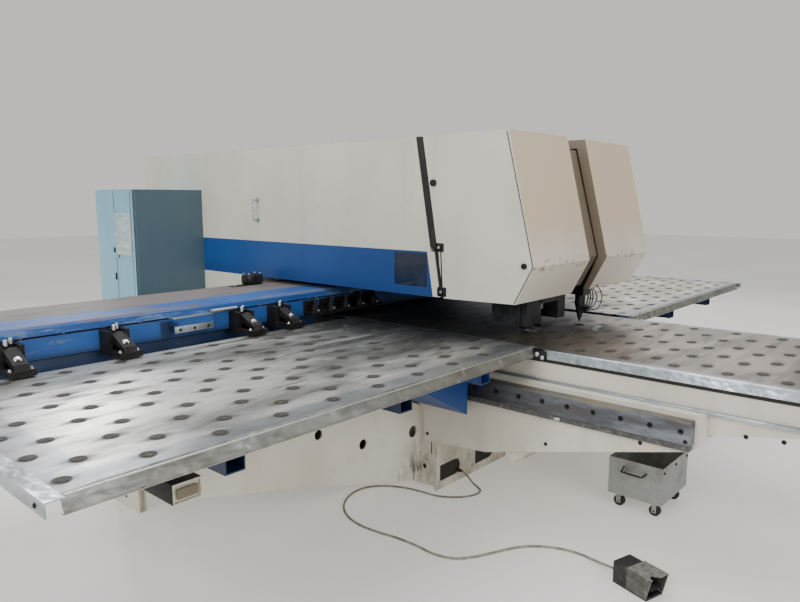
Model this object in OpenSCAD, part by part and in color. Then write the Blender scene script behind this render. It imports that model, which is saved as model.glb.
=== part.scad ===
// Punching and laser cutting machine with a C-frame, a closed head and travelling tables.
// X runs along the cross rail, Y to the rear, Z up from the floor.
// The origin is on the floor in the middle of the machine's outline.
// Y values below count from the rear edge of the travelling tables, and y0 places that edge.

/* [Overall] */
// Reach of the centre table in front of the travelling tables' rear edge
front_reach = 2620; // [2560:10:2800]
// Reach of the column behind the travelling tables' rear edge
rear_reach = 2370; // [2300:10:2600]
// Width over the side trims of the two travelling tables
machine_w = 6070; // [5800:10:6400]
// Height of the arm and head above the floor
arm_top = 2050; // [2000:5:2150]

/* [Arm and head] */
// Width of the arm and head over the flank covers
arm_w = 1426; // [1380:2:1500]
// Height of the arm's underside
arm_under = 1162; // [1155:1:1180]
// Height of the blue stripe panel
stripe_h = 253; // [180:1:300]
// Thickness of the sheet metal covers
cover_t = 4; // [3:0.5:5]
// Lean of the seam between arm and head doors, seen from the side
seam_lean = 9.84; // [6:0.1:12]
// Gap between the flank cover and the head door at the seam
seam_gap = 50; // [40:1:60]
// Width of the recess between the two head doors
recess_w = 220; // [160:5:280]
// Depth of the recess between the two head doors
recess_d = 60; // [40:1:70]
// Diameter of the hinge pins of the head doors
pin_d = 14; // [10:1:16]
// Length of the window in each stripe panel
window_l = 244; // [150:1:300]
// Height of the window in each stripe panel
window_h = 190; // [120:1:200]

/* [C-frame] */
// Thickness of the C-frame's side plates
plate_t = 40; // [25:1:60]
// Width over the C-frame's side plates
c_w = 780; // [700:10:900]
// Distance of the throat's end behind the tables' rear edge
throat_end = 980; // [940:5:1100]

/* [Base] */
// Width of the base frame
base_w = 1336; // [1300:2:1340]
// Height of the base frame's side walls above the floor
base_top = 880; // [840:5:900]
// Wall thickness of the base frame
base_t = 14; // [10:1:20]
// Height of the levelling feet
foot_h = 24; // [15:1:40]
// Diameter of the levelling feet
foot_d = 130; // [90:1:160]
// Diameter of the anchor holes in the base lugs
anchor_d = 22; // [16:1:28]
// Distance between the anchor holes along X
anchor_x = 1460; // [1440:10:1500]
// Distance between the anchor holes along Y
anchor_y = 1350; // [1200:10:1380]

/* [Tables] */
// Height of the travelling tables' top above the floor
table_h = 950; // [930:5:970]
// Depth of the travelling tables
table_d = 1324; // [1200:4:1400]
// Clear width between the two travelling tables
table_gap = 1232; // [1220:2:1300]
// Thickness of the table sheets
sheet_t = 4; // [3:0.5:6]
// How far the centre table lies below the travelling tables
centre_drop = 12; // [8:1:16]
// Width of the centre table
centre_w = 1212; // [1100:2:1214]
// Diameter of the brush inserts
brush_d = 50; // [40:1:60]
// Pitch of the brush inserts along X
brush_px = 250; // [200:5:300]
// Pitch of the brush rows along Y
brush_py = 118; // [100:1:150]
// Offset of every second brush row
brush_shift = 95; // [60:1:125]
// Width of the side trims
trim_w = 52; // [40:1:60]
// Height of the side trims
trim_h = 44; // [35:1:55]
// Height of the folded front aprons
apron_h = 57; // [45:1:70]
// Flare of the front aprons at their lower edge
apron_flare = 28; // [15:1:35]
// Height of the bright trims of the centre table
centre_trim_h = 45; // [35:1:50]

/* [Cross rail] */
// Length of the cross rail
beam_l = 6050; // [5700:10:6070]
// Distance of the cross rail's front lip behind the tables' rear edge
beam_front = 150; // [140:1:180]
// Depth of the cross rail
beam_d = 630; // [550:5:680]
// Height of the cross rail's top
beam_top = 1130; // [1120:1:1140]
// Depth of the recess under the front lip
beam_recess = 70; // [60:1:90]
// Wall thickness of the cross rail
beam_t = 10; // [6:1:14]

/* [X carriage] */
// Length of the carriage bar
bar_l = 3360; // [3000:10:3600]
// Left end of the carriage bar
bar_left = -2790; // [-2850:10:-2700]
// Pitch of the tool holders
tool_pitch = 133; // [110:1:150]
// Diameter of the tools in their holders
tool_d = 58; // [40:1:70]
// Number of tool holders
tool_n = 5; // [3:1:6]
// Width of a sheet clamp
clamp_w = 110; // [80:1:130]

/* [Side supports] */
// Reach of the outriggers from the machine's middle
outrigger_x = 2212; // [2100:4:2260]
// Depth of the outriggers
outrigger_d = 300; // [200:10:400]
// Width of the guide tubes
guide_w = 131; // [100:1:150]
// Height of the guide tubes
guide_h = 87; // [70:1:100]
// Diameter of the outer rollers
roller_d = 90; // [70:1:110]

/* [Y rails] */
// Width of the Y rails
rail_w = 58; // [45:1:62]
// Height of the Y rails
rail_h = 105; // [80:1:115]
// Pitch of the screw holes in the Y rails
rail_pitch = 135; // [100:5:180]
// Diameter of the counterbores in the Y rails
rail_bore = 26; // [18:1:32]

/* [Tooling] */
// X of the punch axis
punch_x = -175; // [-200:5:-150]
// X of the laser axis
laser_x = 175; // [150:5:200]
// Distance of the punch axis in front of the tables' rear edge
punch_reach = 1075; // [1060:1:1090]
// Diameter of the ram
ram_d = 90; // [70:1:110]
// Diameter of the punch tool
punch_d = 76; // [60:1:84]
// Diameter of the die
die_d = 90; // [70:1:110]
// Bore of the stripper round the punch
stripper_bore = 44; // [38:1:60]

/* [Cabinet] */
// Width of the electric cabinet along X
cab_w = 560; // [480:5:600]
// Depth of the electric cabinet along Y
cab_d = 566; // [480:2:620]
// Height of the electric cabinet
cab_h = 1775; // [1600:5:1850]
// Thickness of the cabinet doors
cab_door_t = 20; // [15:1:25]

/* [Foot switch and bin] */
// Width of the foot switch
switch_w = 116; // [104:2:150]
// Length of the foot switch
switch_l = 205; // [190:5:260]
// Height of the foot switch hood
switch_h = 106; // [96:2:130]
// Diameter of the cord
cord_d = 12; // [8:1:14]
// Width of the scrap bin along X
bin_w = 380; // [300:5:450]
// Length of the scrap bin along Y
bin_l = 300; // [250:5:400]
// Height of the scrap bin's walls
bin_h = 210; // [150:5:250]
// Diameter of the bin's wheels
bin_wheel_d = 60; // [40:2:66]

/* [Hidden] */
$fn = 48;
y0 = (front_reach - rear_reach) / 2;
half_w = machine_w / 2;
half_arm = arm_w / 2;
seam_y_top = -649;
seam_slope = tan(seam_lean);
stripe_top = arm_under + stripe_h;
sheet_under = table_h - sheet_t;
centre_top = table_h - centre_drop;
eps = 1;

// Y of the seam's middle line at height z
function seam_y(z) = seam_y_top - (arm_top - z) * seam_slope;

// Head outline, seen from the side
head_front_top = -1225;
head_crease = [-1390, 1370];
head_low_front = [-1287, arm_under + 11];

// Front arm
arm_plate_t = 12;
arm_half = base_w / 2 + arm_plate_t;
arm_front = -(front_reach - 405);
deck_z = 775;
band_half = centre_w / 2 - 8;
band_t = 6;
band_front = -(front_reach - 36);
base_front = -746;
base_rear = rear_reach - 40;

// Y rails
rail_z = 650;
rail_front = arm_front + 30;
rail_rear = throat_end - 30;

// Table frames
tube_low = 810;
tube_mid = 870;
tube_w = 80;
frame_t = 5;
frame_x = [-2410, -1550, -960];
frame_y = concat([for (k = [0, 5, 9]) row_y(k + 0.5) - 30], [420]);

// Carriage on the cross rail
web_y = beam_front + beam_recess;
guide_t = 16;
run_gap = 0.3;
bar_back = web_y - guide_t;
bar_d = 50;
bar_front = bar_back - bar_d;
bar_z = 975;
bar_h = 100;
clamp_x = [-2610, -2130, -1385, -1115];
tool_x0 = -835;

// Doors of the head
knuckle_d = pin_d + 14;
knuckle_l = 40;
hinge_x = half_arm - 17;

module at_tables() {
    translate([0, y0, 0]) children();
}

module both_sides() {
    children();
    mirror([1, 0, 0]) children();
}

// Plate whose outline is given as [Y, Z] points, from x to x + t
module side_plate(x, t, outline) {
    translate([x, 0, 0]) rotate([90, 0, 90]) linear_extrude(t) polygon(outline);
}

// Plate whose outline is given as [X, Z] points, from y to y + t
module front_plate(y, t, outline) {
    translate([0, y + t, 0]) rotate([90, 0, 0]) linear_extrude(t) polygon(outline);
}

// Box given by its low and high corners
module block(low, high) {
    translate(low) cube(high - low);
}

// Children stand on the seam's middle line at height z and lean with it
module on_seam(x, z) {
    translate([x, seam_y(z), z]) rotate([-seam_lean, 0, 0]) children();
}

// Base frame

module base_walls() {
    difference() {
        block([-base_w / 2, base_front, foot_h], [base_w / 2, base_rear, base_top]);
        block([-base_w / 2 + base_t, base_front + base_t, foot_h + 20],
              [base_w / 2 - base_t, base_rear - base_t, base_top + eps]);
    }
}

module base_cutouts() {
    // Openings with one round end in the front wall
    for (x = [-430, 120]) {
        block([x, base_front - eps, 90], [x + 200, base_front + base_t + eps, 215]);
        translate([x + 200, base_front - eps, 152]) rotate([-90, 0, 0])
            cylinder(d = 125, h = base_t + 2 * eps);
    }
    // Openings in the side walls
    for (y = [900, 1500])
        block([-base_w, y, 120], [base_w, y + 260, 320]);
}

anchor_y0 = -100;
module base_lugs() {
    for (y = [anchor_y0, anchor_y0 + anchor_y])
        both_sides() difference() {
            block([base_w / 2 - eps, y - 70, foot_h], [anchor_x / 2 + 60, y + 70, foot_h + 24]);
            translate([anchor_x / 2, y, foot_h - eps]) cylinder(d = anchor_d, h = 26);
        }
}

module base_frame() {
    color([0.85, 0.82, 0.74]) at_tables() {
        difference() {
            base_walls();
            base_cutouts();
        }
        base_lugs();
        // Bearers under the rear half of the centre table
        for (y = [-520, 0, 620])
            block([-base_w / 2 + 1, y, base_top - 8],
                  [base_w / 2 - 1, y + 50, centre_top - sheet_t]);
        // Ring bosses near the front corners
        both_sides() translate([-base_w / 2 + eps, base_front + 60, 190]) rotate([0, -90, 0])
            difference() {
                cylinder(d = 46, h = 9);
                translate([0, 0, 2]) cylinder(d = 26, h = 10);
            }
    }
}

module levelling_feet() {
    color([0.3, 0.3, 0.3]) at_tables()
        for (y = [base_front + 150, 800, base_rear - 150])
            both_sides() translate([base_w / 2 - 110, y, 0]) {
                cylinder(d = foot_d, h = foot_h / 2);
                cylinder(d = foot_d / 2, h = foot_h);
            }
}

// C-frame

c_top = arm_top - 70;
c_low = foot_h + 20;
jaw_under = arm_under + 18;
c_outline = [
    [base_front + 40, c_low], [base_rear - 60, c_low], [base_rear - 60, c_top],
    [-1150, c_top], [-1270, 1400], [-1180, 1250], [-860, jaw_under],
    [throat_end + 20, jaw_under], [throat_end + 120, jaw_under - 100],
    [throat_end + 120, base_top + 60], [throat_end + 20, base_top - 10],
    [base_front + 40, base_top - 10]
];

module c_frame() {
    web_x = c_w / 2 - plate_t;
    color([0.75, 0.74, 0.68]) at_tables() {
        both_sides() difference() {
            side_plate(web_x, plate_t, c_outline);
            // Lightening holes in the arm and the column
            for (y = [-250, 350, rear_reach - 620])
                translate([web_x - eps, y, arm_top - 450]) rotate([0, 90, 0])
                    cylinder(d = 260, h = plate_t + 2 * eps);
            translate([web_x - eps, rear_reach - 670, 700]) rotate([0, 90, 0])
                cylinder(d = 300, h = plate_t + 2 * eps);
        }
        block([-c_w / 2, -1150, c_top - 30], [c_w / 2, base_rear - 60, c_top]);
        block([-web_x - eps, -860, jaw_under], [web_x + eps, throat_end + 20, jaw_under + 40]);
        block([-web_x - eps, base_rear - 90, c_low], [web_x + eps, base_rear - 60, c_top]);
        block([-web_x - eps, throat_end + 120, base_top], [web_x + eps, throat_end + 160, 1120]);
        block([-web_x - eps, base_front + 40, base_top - 40],
              [web_x + eps, throat_end + 20, base_top - 10]);
    }
}

// Covers of the arm

rail_end = rear_reach - 170;
module flank_cover() {
    edge = seam_gap / 2;
    outline = [
        [seam_y(arm_top) + edge, arm_top - cover_t], [rear_reach - cover_t, arm_top - cover_t],
        [rear_reach - cover_t, stripe_top], [seam_y(stripe_top) + edge, stripe_top]
    ];
    flange = [
        outline[0], outline[0] + [cover_t, 0], outline[3] + [cover_t, 0], outline[3]
    ];
    side_plate(half_arm - cover_t, cover_t, outline);
    side_plate(half_arm - 30, 30, flange);
    // Fold under the roof
    block([half_arm - 30, seam_y(arm_top) + edge + 2, arm_top - 2 * cover_t],
          [half_arm, rear_reach - cover_t, arm_top - cover_t]);
    // Stand-off rails that hold the cover to the C-frame
    for (z = [stripe_top + 60, c_top - 60])
        block([c_w / 2, -500, z - 20], [half_arm - cover_t + eps / 2, rail_end, z + 20]);
}

module stripe_panel() {
    edge = seam_gap / 2;
    outline = [
        [seam_y(stripe_top) + edge, stripe_top], [rear_reach - cover_t, stripe_top],
        [rear_reach - cover_t, arm_under], [seam_y(arm_under) + edge, arm_under]
    ];
    difference() {
        side_plate(half_arm - cover_t, cover_t, outline);
        window_hole(0);
    }
    // Fold along the lower edge
    block([half_arm - 40, seam_y(arm_under) + edge, arm_under],
          [half_arm, throat_end, arm_under + cover_t]);
    block([c_w / 2, -300, stripe_top - 80],
          [half_arm - cover_t + eps / 2, rail_end, stripe_top - 40]);
}

window_y = seam_y(stripe_top) + 51;
module window_hole(inset) {
    z = stripe_top - 12 - window_h;
    translate([half_arm - cover_t - eps, window_y + inset, z + inset])
        cube([cover_t + 2 * eps, window_l - 2 * inset, window_h - 2 * inset]);
}

module flank_cover_left() {
    color([0.88, 0.86, 0.79]) at_tables() mirror([1, 0, 0]) flank_cover();
}

module flank_cover_right() {
    color([0.88, 0.86, 0.79]) at_tables() flank_cover();
}

module stripe_panel_left() {
    color([0.09, 0.27, 0.58]) at_tables() mirror([1, 0, 0]) stripe_panel();
}

module stripe_panel_right() {
    color([0.09, 0.27, 0.58]) at_tables() stripe_panel();
}

module stripe_windows() {
    z = stripe_top - 12 - window_h;
    color([0.08, 0.12, 0.2]) at_tables() both_sides()
        block([half_arm - cover_t - 3, window_y - 12, z - 10],
              [half_arm - cover_t, window_y + window_l + 12, z + window_h + 10]);
}

module arm_roof() {
    color([0.88, 0.86, 0.79]) at_tables() {
        block([-half_arm, seam_y(arm_top) + seam_gap / 2, arm_top - cover_t],
              [half_arm, rear_reach, arm_top]);
        // Stiffening top hats under the sheet, standing on the C-frame
        for (y = [-400, 600, rear_reach - 770])
            block([-200, y, c_top], [200, y + 60, arm_top - cover_t + eps / 2]);
    }
}

module rear_cover() {
    color([0.88, 0.86, 0.79]) at_tables() difference() {
        block([-half_arm, rear_reach - cover_t, arm_under],
              [half_arm, rear_reach, arm_top - cover_t]);
        for (z = [arm_top - 450:40:arm_top - 210])
            block([-250, rear_reach - cover_t - eps, z], [250, rear_reach + eps, z + 14]);
    }
}

module column_cover() {
    top = arm_under;
    color([0.86, 0.83, 0.76]) at_tables() {
        both_sides() block([half_arm - cover_t, throat_end, 60], [half_arm, rear_reach, top]);
        block([-half_arm, rear_reach - cover_t, 60], [half_arm, rear_reach, top]);
        // Front wall of the column, open for the C-frame and the base
        both_sides() block([base_w / 2 + 4, throat_end, 60],
                           [half_arm - cover_t + eps / 2, throat_end + cover_t, top]);
        difference() {
            block([-base_w / 2 - 5, throat_end, base_top + 4],
                  [base_w / 2 + 5, throat_end + cover_t, top]);
            block([-c_w / 2 - 1, throat_end - eps, base_top],
                  [c_w / 2 + 1, throat_end + cover_t + eps, base_top + 5]);
        }
        // Stand-off rails to the C-frame
        for (z = [400, 1000])
            both_sides() block([half_arm - 25, throat_end + 200, z],
                               [half_arm - cover_t + eps / 2, rail_end, z + 40]);
    }
}

handle_y = 820;
handle_z = 1560;
handle_l = 140;
module flank_handles() {
    color([0.7, 0.69, 0.65]) at_tables() both_sides() {
        for (z = [handle_z, handle_z + handle_l])
            translate([half_arm, handle_y, z]) rotate([0, 90, 0]) cylinder(d = 12, h = 44);
        translate([half_arm + 40, handle_y, handle_z - 6]) cylinder(d = 12, h = handle_l + 12);
        for (z = [handle_z, handle_z + handle_l])
            translate([half_arm, handle_y, z]) rotate([0, 90, 0]) cylinder(d = 30, h = 4);
    }
}

module seam_strips() {
    w = seam_gap / 2 - 4;
    z_low = 1443;
    outline = [
        [seam_y(arm_top) - w, arm_top - 12], [seam_y(arm_top) + w, arm_top - 12],
        [seam_y(z_low) + w, z_low], [seam_y(z_low) - w, z_low]
    ];
    color([0.1, 0.1, 0.1]) at_tables() both_sides() {
        difference() {
            side_plate(half_arm - 64, 30, outline);
            // Notch round the bracket of the upper hinge
            translate([half_arm - 70, seam_y(pin_z[2]) - 30, pin_z[2]])
                cube([40, 60, knuckle_l + 6]);
        }
        // Webs that hold the strip to the C-frame, two below the upper hinge and one above it
        for (z = [1560, 1760, pin_z[2] + knuckle_l + 12])
            translate([c_w / 2, seam_y(z) - 8, z])
                cube([half_arm - 64 - c_w / 2 + eps / 2, 16, 44]);
    }
}

recess_half = recess_w / 2;
module recess_panel() {
    outer = [
        [seam_y(arm_top) + seam_gap / 2 - 2, arm_top - recess_d],
        [head_front_top + recess_d, arm_top - recess_d],
        [head_crease[0] + recess_d + 4, head_crease[1] + 5],
        [head_low_front[0] + recess_d, head_low_front[1] + 20]
    ];
    inner = [
        [head_low_front[0] + recess_d + 4, head_low_front[1] + 20],
        [head_crease[0] + recess_d + 8, head_crease[1] + 5],
        [head_front_top + recess_d + 4, arm_top - recess_d - cover_t],
        [seam_y(arm_top) + seam_gap / 2 - 2, arm_top - recess_d - cover_t]
    ];
    color([0.47, 0.42, 0.35]) at_tables() {
        side_plate(-recess_half - 10, recess_w + 20, concat(outer, inner));
        // Feet on the C-frame's top
        for (y = [-1080, -760])
            block([-60, y, c_top], [60, y + 50, arm_top - recess_d - cover_t + eps / 2]);
    }
}

// Head doors

pin_z = [1205, 1405, 1880];
module hinge_pins() {
    color([0.12, 0.12, 0.12]) at_tables() both_sides()
        for (z = pin_z) {
            on_seam(hinge_x, z) cylinder(d = pin_d, h = 2 * knuckle_l + 10);
            // Fixed knuckle and its bracket to the C-frame
            on_seam(hinge_x, z) cylinder(d = knuckle_d, h = knuckle_l);
            on_seam(hinge_x, z) translate([c_w / 2 - hinge_x, -6, 5])
                cube([hinge_x - c_w / 2, 12, knuckle_l - 10]);
        }
}

low_slope = (head_low_front[0] - head_crease[0]) / (head_crease[1] - head_low_front[1]);
module head_shell_solid(x_in, x_out, grow) {
    edge = seam_gap / 2;
    past = grow > 0 ? 20 : 0;
    side_plate(x_in, x_out - x_in, [
        [seam_y(arm_top) - edge + 2 * past, arm_top - grow],
        [head_front_top + grow, arm_top - grow],
        [head_crease[0] + grow, head_crease[1]],
        [head_low_front[0] + grow + past * low_slope, head_low_front[1] - past],
        [seam_y(arm_under) - edge + 2 * past, arm_under - past]
    ]);
}

module head_door() {
    edge = seam_gap / 2;
    difference() {
        head_shell_solid(recess_half, half_arm, 0);
        head_shell_solid(recess_half - eps, half_arm - cover_t, cover_t);
    }
    // Return fold beside the recess
    difference() {
        head_shell_solid(recess_half, recess_half + cover_t, 0);
        side_plate(recess_half - eps, cover_t + 2 * eps, [
            [0, arm_top - recess_d + 10], [head_front_top + recess_d - 10, arm_top - recess_d + 10],
            [head_crease[0] + recess_d - 6, head_crease[1] + 5],
            [head_low_front[0] + recess_d - 10, arm_under - 20], [0, arm_under - 20]
        ]);
    }
    // Rear fold of the side sheet
    side_plate(half_arm - 26, 26, [
        [seam_y(arm_top) - edge - cover_t, arm_top - 1], [seam_y(arm_top) - edge, arm_top - 1],
        [seam_y(arm_under) - edge, arm_under], [seam_y(arm_under) - edge - cover_t, arm_under]
    ]);
    // Knuckles that turn on the pins
    for (z = pin_z)
        on_seam(hinge_x, z) translate([0, 0, knuckle_l + 1]) difference() {
            union() {
                cylinder(d = knuckle_d, h = knuckle_l - 1);
                translate([-6, -edge - 2, 0]) cube([12, edge + 2, knuckle_l - 1]);
            }
            translate([0, 0, -eps]) cylinder(d = pin_d + 1, h = knuckle_l + 2 * eps);
        }
    door_locks();
}

module door_locks() {
    translate([half_arm - eps, -754, 1792]) rotate([0, 90, 0]) cylinder(d = 34, h = 12);
    translate([half_arm - eps, -1334, 1372]) rotate([0, 90, 0]) cylinder(d = 26, h = 8);
}

module head_door_left() {
    color([0.88, 0.85, 0.77]) at_tables() mirror([1, 0, 0]) head_door();
}

module head_door_right() {
    color([0.88, 0.85, 0.77]) at_tables() head_door();
}

// Punch station

housing_low = 1235;
module ram_housing() {
    color([0.35, 0.36, 0.38]) at_tables() difference() {
        union() {
            block([punch_x - 120, -punch_reach - 90, housing_low],
                  [punch_x + 120, -punch_reach + 130, 1560]);
            translate([punch_x, -punch_reach, 1559]) cylinder(d = 190, h = 300);
            block([punch_x - 90, -punch_reach + 129, jaw_under + 60],
                  [punch_x + 90, -860, jaw_under + 300]);
            block([-c_w / 2 + plate_t, -860, jaw_under + 40.3],
                  [c_w / 2 - plate_t, -700, jaw_under + 300]);
            ram_guards();
        }
        translate([punch_x, -punch_reach, housing_low - eps])
            cylinder(d = ram_d + 1, h = 440);
    }
}

// Cheeks and a front plate that close the station round the ram, and the sheet feeler's rod
guard_low = table_h + 60;
guard_in = 101;
guard_front = -punch_reach - 110;
guard_rear = -punch_reach + 120;
guard_top = housing_low + 65;
module ram_guards() {
    plate_in = -c_w / 2 + plate_t + run_gap;
    block([plate_in, guard_front, guard_low], [punch_x - guard_in, guard_rear, guard_top]);
    // Below the C-frame's side plate the left cheek is wider
    block([punch_x - guard_in - 149, guard_front, guard_low],
          [plate_in + eps, guard_rear, jaw_under + 15]);
    block([punch_x + guard_in, guard_front, guard_low],
          [punch_x + guard_in + 85, guard_rear, guard_top]);
    block([punch_x - guard_in - 1, guard_front - 8, 1120],
          [punch_x + guard_in + 1, guard_front + 21, guard_top]);
    translate([punch_x - guard_in - 154, guard_front + 45, 0]) {
        translate([-12, -8, 1150]) cube([20, 16, 16]);
        translate([-6, 0, table_h + 22]) cylinder(d = 8, h = 200);
    }
}

punch_tip_z = table_h + 28;
module ram() {
    color([0.6, 0.6, 0.62]) at_tables() translate([punch_x, -punch_reach, 0]) {
        difference() {
            union() {
                translate([0, 0, 1130]) cylinder(d = ram_d, h = 470);
                translate([0, 0, 1075]) cylinder(d = ram_d + 34, h = 70);
            }
            translate([0, 0, 1074]) cylinder(d = punch_d - 16, h = 41);
        }
    }
}

module punch_tool() {
    color([0.7, 0.68, 0.6]) at_tables() translate([punch_x, -punch_reach, 0]) {
        translate([0, 0, 1019]) cylinder(d = punch_d, h = 55.5);
        translate([0, 0, 1019]) cylinder(d = punch_d - 17, h = 91);
        translate([0, 0, 1000]) cylinder(d1 = 44, d2 = punch_d - 10, h = 20);
        translate([0, 0, punch_tip_z]) cylinder(d = 28, h = 23);
    }
}

module stripper() {
    color([0.3, 0.3, 0.32]) at_tables() {
        translate([punch_x, -punch_reach, 958]) difference() {
            union() {
                cylinder(d = 170, h = 12);
                both_sides() translate([68, -12, 0]) cube([30, 24, 12]);
            }
            translate([0, 0, -eps]) cylinder(d = stripper_bore, h = 20);
            cylinder(d = 90, h = 20);
        }
        translate([punch_x, -punch_reach, 958]) difference() {
            cylinder(d = 92, h = 4);
            translate([0, 0, -eps]) cylinder(d = stripper_bore, h = 6);
        }
        for (x = [-86, 86])
            translate([punch_x + x, -punch_reach, 958]) cylinder(d = 18, h = housing_low - 958);
    }
}

module die_holder() {
    color([0.3, 0.3, 0.32]) at_tables() difference() {
        translate([punch_x, -punch_reach, 900]) cylinder(d = 190, h = 30);
        translate([punch_x, -punch_reach, 905]) cylinder(d = die_d + 1, h = 30);
        translate([punch_x, -punch_reach, 890]) cylinder(d = 50, h = 30);
    }
}

module die() {
    color([0.7, 0.68, 0.6]) at_tables() translate([punch_x, -punch_reach, 905.5])
        difference() {
            cylinder(d = die_d, h = centre_top + 2 - 905.5);
            translate([0, 0, -eps]) cylinder(d = 30, h = 60);
        }
}

// Laser station

laser_reach = punch_reach + 125;
module laser_mount() {
    color([0.3, 0.31, 0.33]) at_tables() {
        block([laser_x - 70, -laser_reach + 62, 1225], [laser_x + 70, -laser_reach + 90, 1500]);
        block([laser_x - 70, -laser_reach + 89, 1225], [laser_x + 70, -860, 1260]);
        both_sides_of(laser_x, 60) block([-8, -laser_reach + 52, 1230],
                                         [8, -laser_reach + 63, 1490]);
        block([laser_x - 70, -862, 1225], [laser_x + 70, -860, 1450]);
    }
}

module both_sides_of(x, d) {
    for (s = [-d, d])
        translate([x + s, 0, 0]) children();
}

module laser_head() {
    color([0.45, 0.46, 0.48]) at_tables() translate([laser_x, -laser_reach, 0]) {
        block([-50, -45, 1130], [50, 42, 1400]);
        both_sides_of(0, 60) block([-14, 38, 1250], [14, 51.5, 1400]);
        block([-75, 30, 1250], [75, 42, 1400]);
        translate([0, 0, 1060]) cylinder(d = 62, h = 71);
        translate([0, 0, 985]) cylinder(d1 = 26, d2 = 56, h = 76);
        translate([0, 0, 960]) cylinder(d1 = 6, d2 = 24, h = 26);
        // Blocks that hold the cable loops
        block([49, -30, 1150], [66, 20, 1180]);
        block([49, -30, 1020], [66, 20, 1050]);
        block([26, -30, 1020], [50, 20, 1050]);
    }
}

module cable_loop(y, r) {
    // Half ring from the upper block to the lower one
    translate([66, y, 1100]) rotate([90, 0, 0]) rotate_extrude(angle = 180, start = -90)
        translate([r, 0]) circle(d = 7, $fn = 16);
}

module laser_cables() {
    color([0.08, 0.08, 0.08]) at_tables() translate([laser_x, -laser_reach, 0])
        for (k = [0:2]) cable_loop(-22 + 16 * k, 65);
}

// Front arm and centre table

arm_outline = [
    [-665, 296], [-1100, 335], [arm_front + 44, 608], [arm_front, 651],
    [arm_front, deck_z], [-665, deck_z]
];
arm_core = [
    [base_front, 320], [-1100, 348], [arm_front + 50, 622], [arm_front + 13, 660],
    [arm_front + 13, deck_z - 12], [base_front, deck_z - 12]
];
band_outline = [
    [base_front, deck_z - 1], [arm_front + 80, deck_z - 1], [arm_front + 60, 664],
    [band_front, 743], [band_front, 805], [band_front + 20, 805], [band_front + 20, 900],
    [base_front, 900]
];

module front_arm() {
    color([0.87, 0.85, 0.78]) at_tables() difference() {
        front_arm_plates();
        chute_holes();
    }
}

module front_arm_plates() {
    ribs = [-1000, -1350, -1700, -2050];
    union() {
        both_sides() side_plate(arm_half - arm_plate_t, arm_plate_t, arm_outline);
        // Bottom, end and deck plates between the side plates
        difference() {
            side_plate(-arm_half + 1, 2 * arm_half - 2, [
                [base_front, 303], [-1100, 335], [arm_front + 44, 608], [arm_front, 651],
                [arm_front, deck_z], [base_front, deck_z]
            ]);
            side_plate(-arm_half - eps, 2 * arm_half + 2 * eps, arm_core);
        }
        // Ribs with a round hole
        intersection() {
            side_plate(-arm_half + 1, 2 * arm_half - 2, arm_outline);
            for (y = ribs)
                difference() {
                    block([-arm_half + 2, y, 250], [arm_half - 2, y + 10, deck_z]);
                    translate([0, y - eps, 640]) rotate([-90, 0, 0]) cylinder(d = 160, h = 12);
                }
        }
        // Upper box that carries the centre table
        both_sides() side_plate(band_half - band_t, band_t, band_outline);
        block([-band_half + 1, band_front, 743], [band_half - 1, band_front + 6, 805]);
        block([-band_half + 1, band_front + 20, 805], [band_half - 1, band_front + 26, 900]);
        block([-band_half + 1, band_front + 20, 894], [band_half - 1, base_front, 900]);
        // Bearers under the centre table, between its brush rows
        for (y = concat([for (k = [0, 3, 6]) centre_row_y(k + 0.5) - 20], [-1420, -1280, -800]))
            block([-centre_w / 2 + 30, y, 899], [centre_w / 2 - 30, y + 40, centre_top - sheet_t]);
    }
}

// Chute for slugs below the die, and a hole below the laser
module chute_holes() {
    translate([punch_x, -punch_reach, deck_z - 20]) cylinder(d = 60, h = 200);
    translate([laser_x, -laser_reach, deck_z - 20]) cylinder(d = 90, h = 200);
}

centre_front = -front_reach;
centre_rear = 700;
module centre_table() {
    color([0.42, 0.4, 0.37]) at_tables() difference() {
        block([-centre_w / 2 + 18, centre_front + 18, centre_top - sheet_t],
              [centre_w / 2 - 18, centre_rear, centre_top]);
        translate([punch_x, -punch_reach, centre_top - sheet_t - eps])
            cylinder(d = die_d + 8, h = sheet_t + 2 * eps);
        translate([laser_x, -laser_reach, centre_top - sheet_t - eps])
            cylinder(d = 60, h = sheet_t + 2 * eps);
        at_centre_brushes() translate([0, 0, centre_top - sheet_t - eps])
            cylinder(d = brush_d, h = sheet_t + 2 * eps, $fn = 24);
    }
}

centre_rows = 9;
function centre_row_y(row) = centre_front + 130 + row * brush_py;

module at_centre_brushes() {
    for (row = [0:centre_rows - 1], col = [0:4]) {
        x = -500 + col * brush_px + (row % 2) * brush_shift;
        y = centre_row_y(row);
        if (x < centre_w / 2 - 60) translate([x, y, 0]) children();
    }
}

trim_rear = -1420;
module centre_trims() {
    low = centre_top - centre_trim_h;
    color([0.66, 0.68, 0.7]) at_tables() {
        both_sides() front_plate(centre_front, trim_rear - centre_front, [
            [centre_w / 2 - 18, centre_top], [centre_w / 2 - 18, centre_top - 6],
            [centre_w / 2 - 5, centre_top - 9], [centre_w / 2 + 2, low],
            [centre_w / 2 + 8, low], [centre_w / 2, centre_top - 4], [centre_w / 2 - 4, centre_top]
        ]);
        side_plate(-centre_w / 2 + 18, centre_w - 36, [
            [centre_front + 18, centre_top], [centre_front + 18, centre_top - 6],
            [centre_front + 7, centre_top - 8], [centre_front + 7, low], [centre_front, low],
            [centre_front, centre_top - 4], [centre_front + 4, centre_top]
        ]);
        // Small angle plate that lies on the centre table below the laser
        translate([108, -1352, centre_top]) rotate([0, 0, 12])
            block([-55, -18, 0], [55, 18, 12]);
    }
}

module brush(z) {
    translate([0, 0, z - 14]) cylinder(d = brush_d - 1, h = 14, $fn = 24);
    translate([0, 0, z - 1]) cylinder(d = brush_d - 14, h = 2.5, $fn = 24);
}

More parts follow.
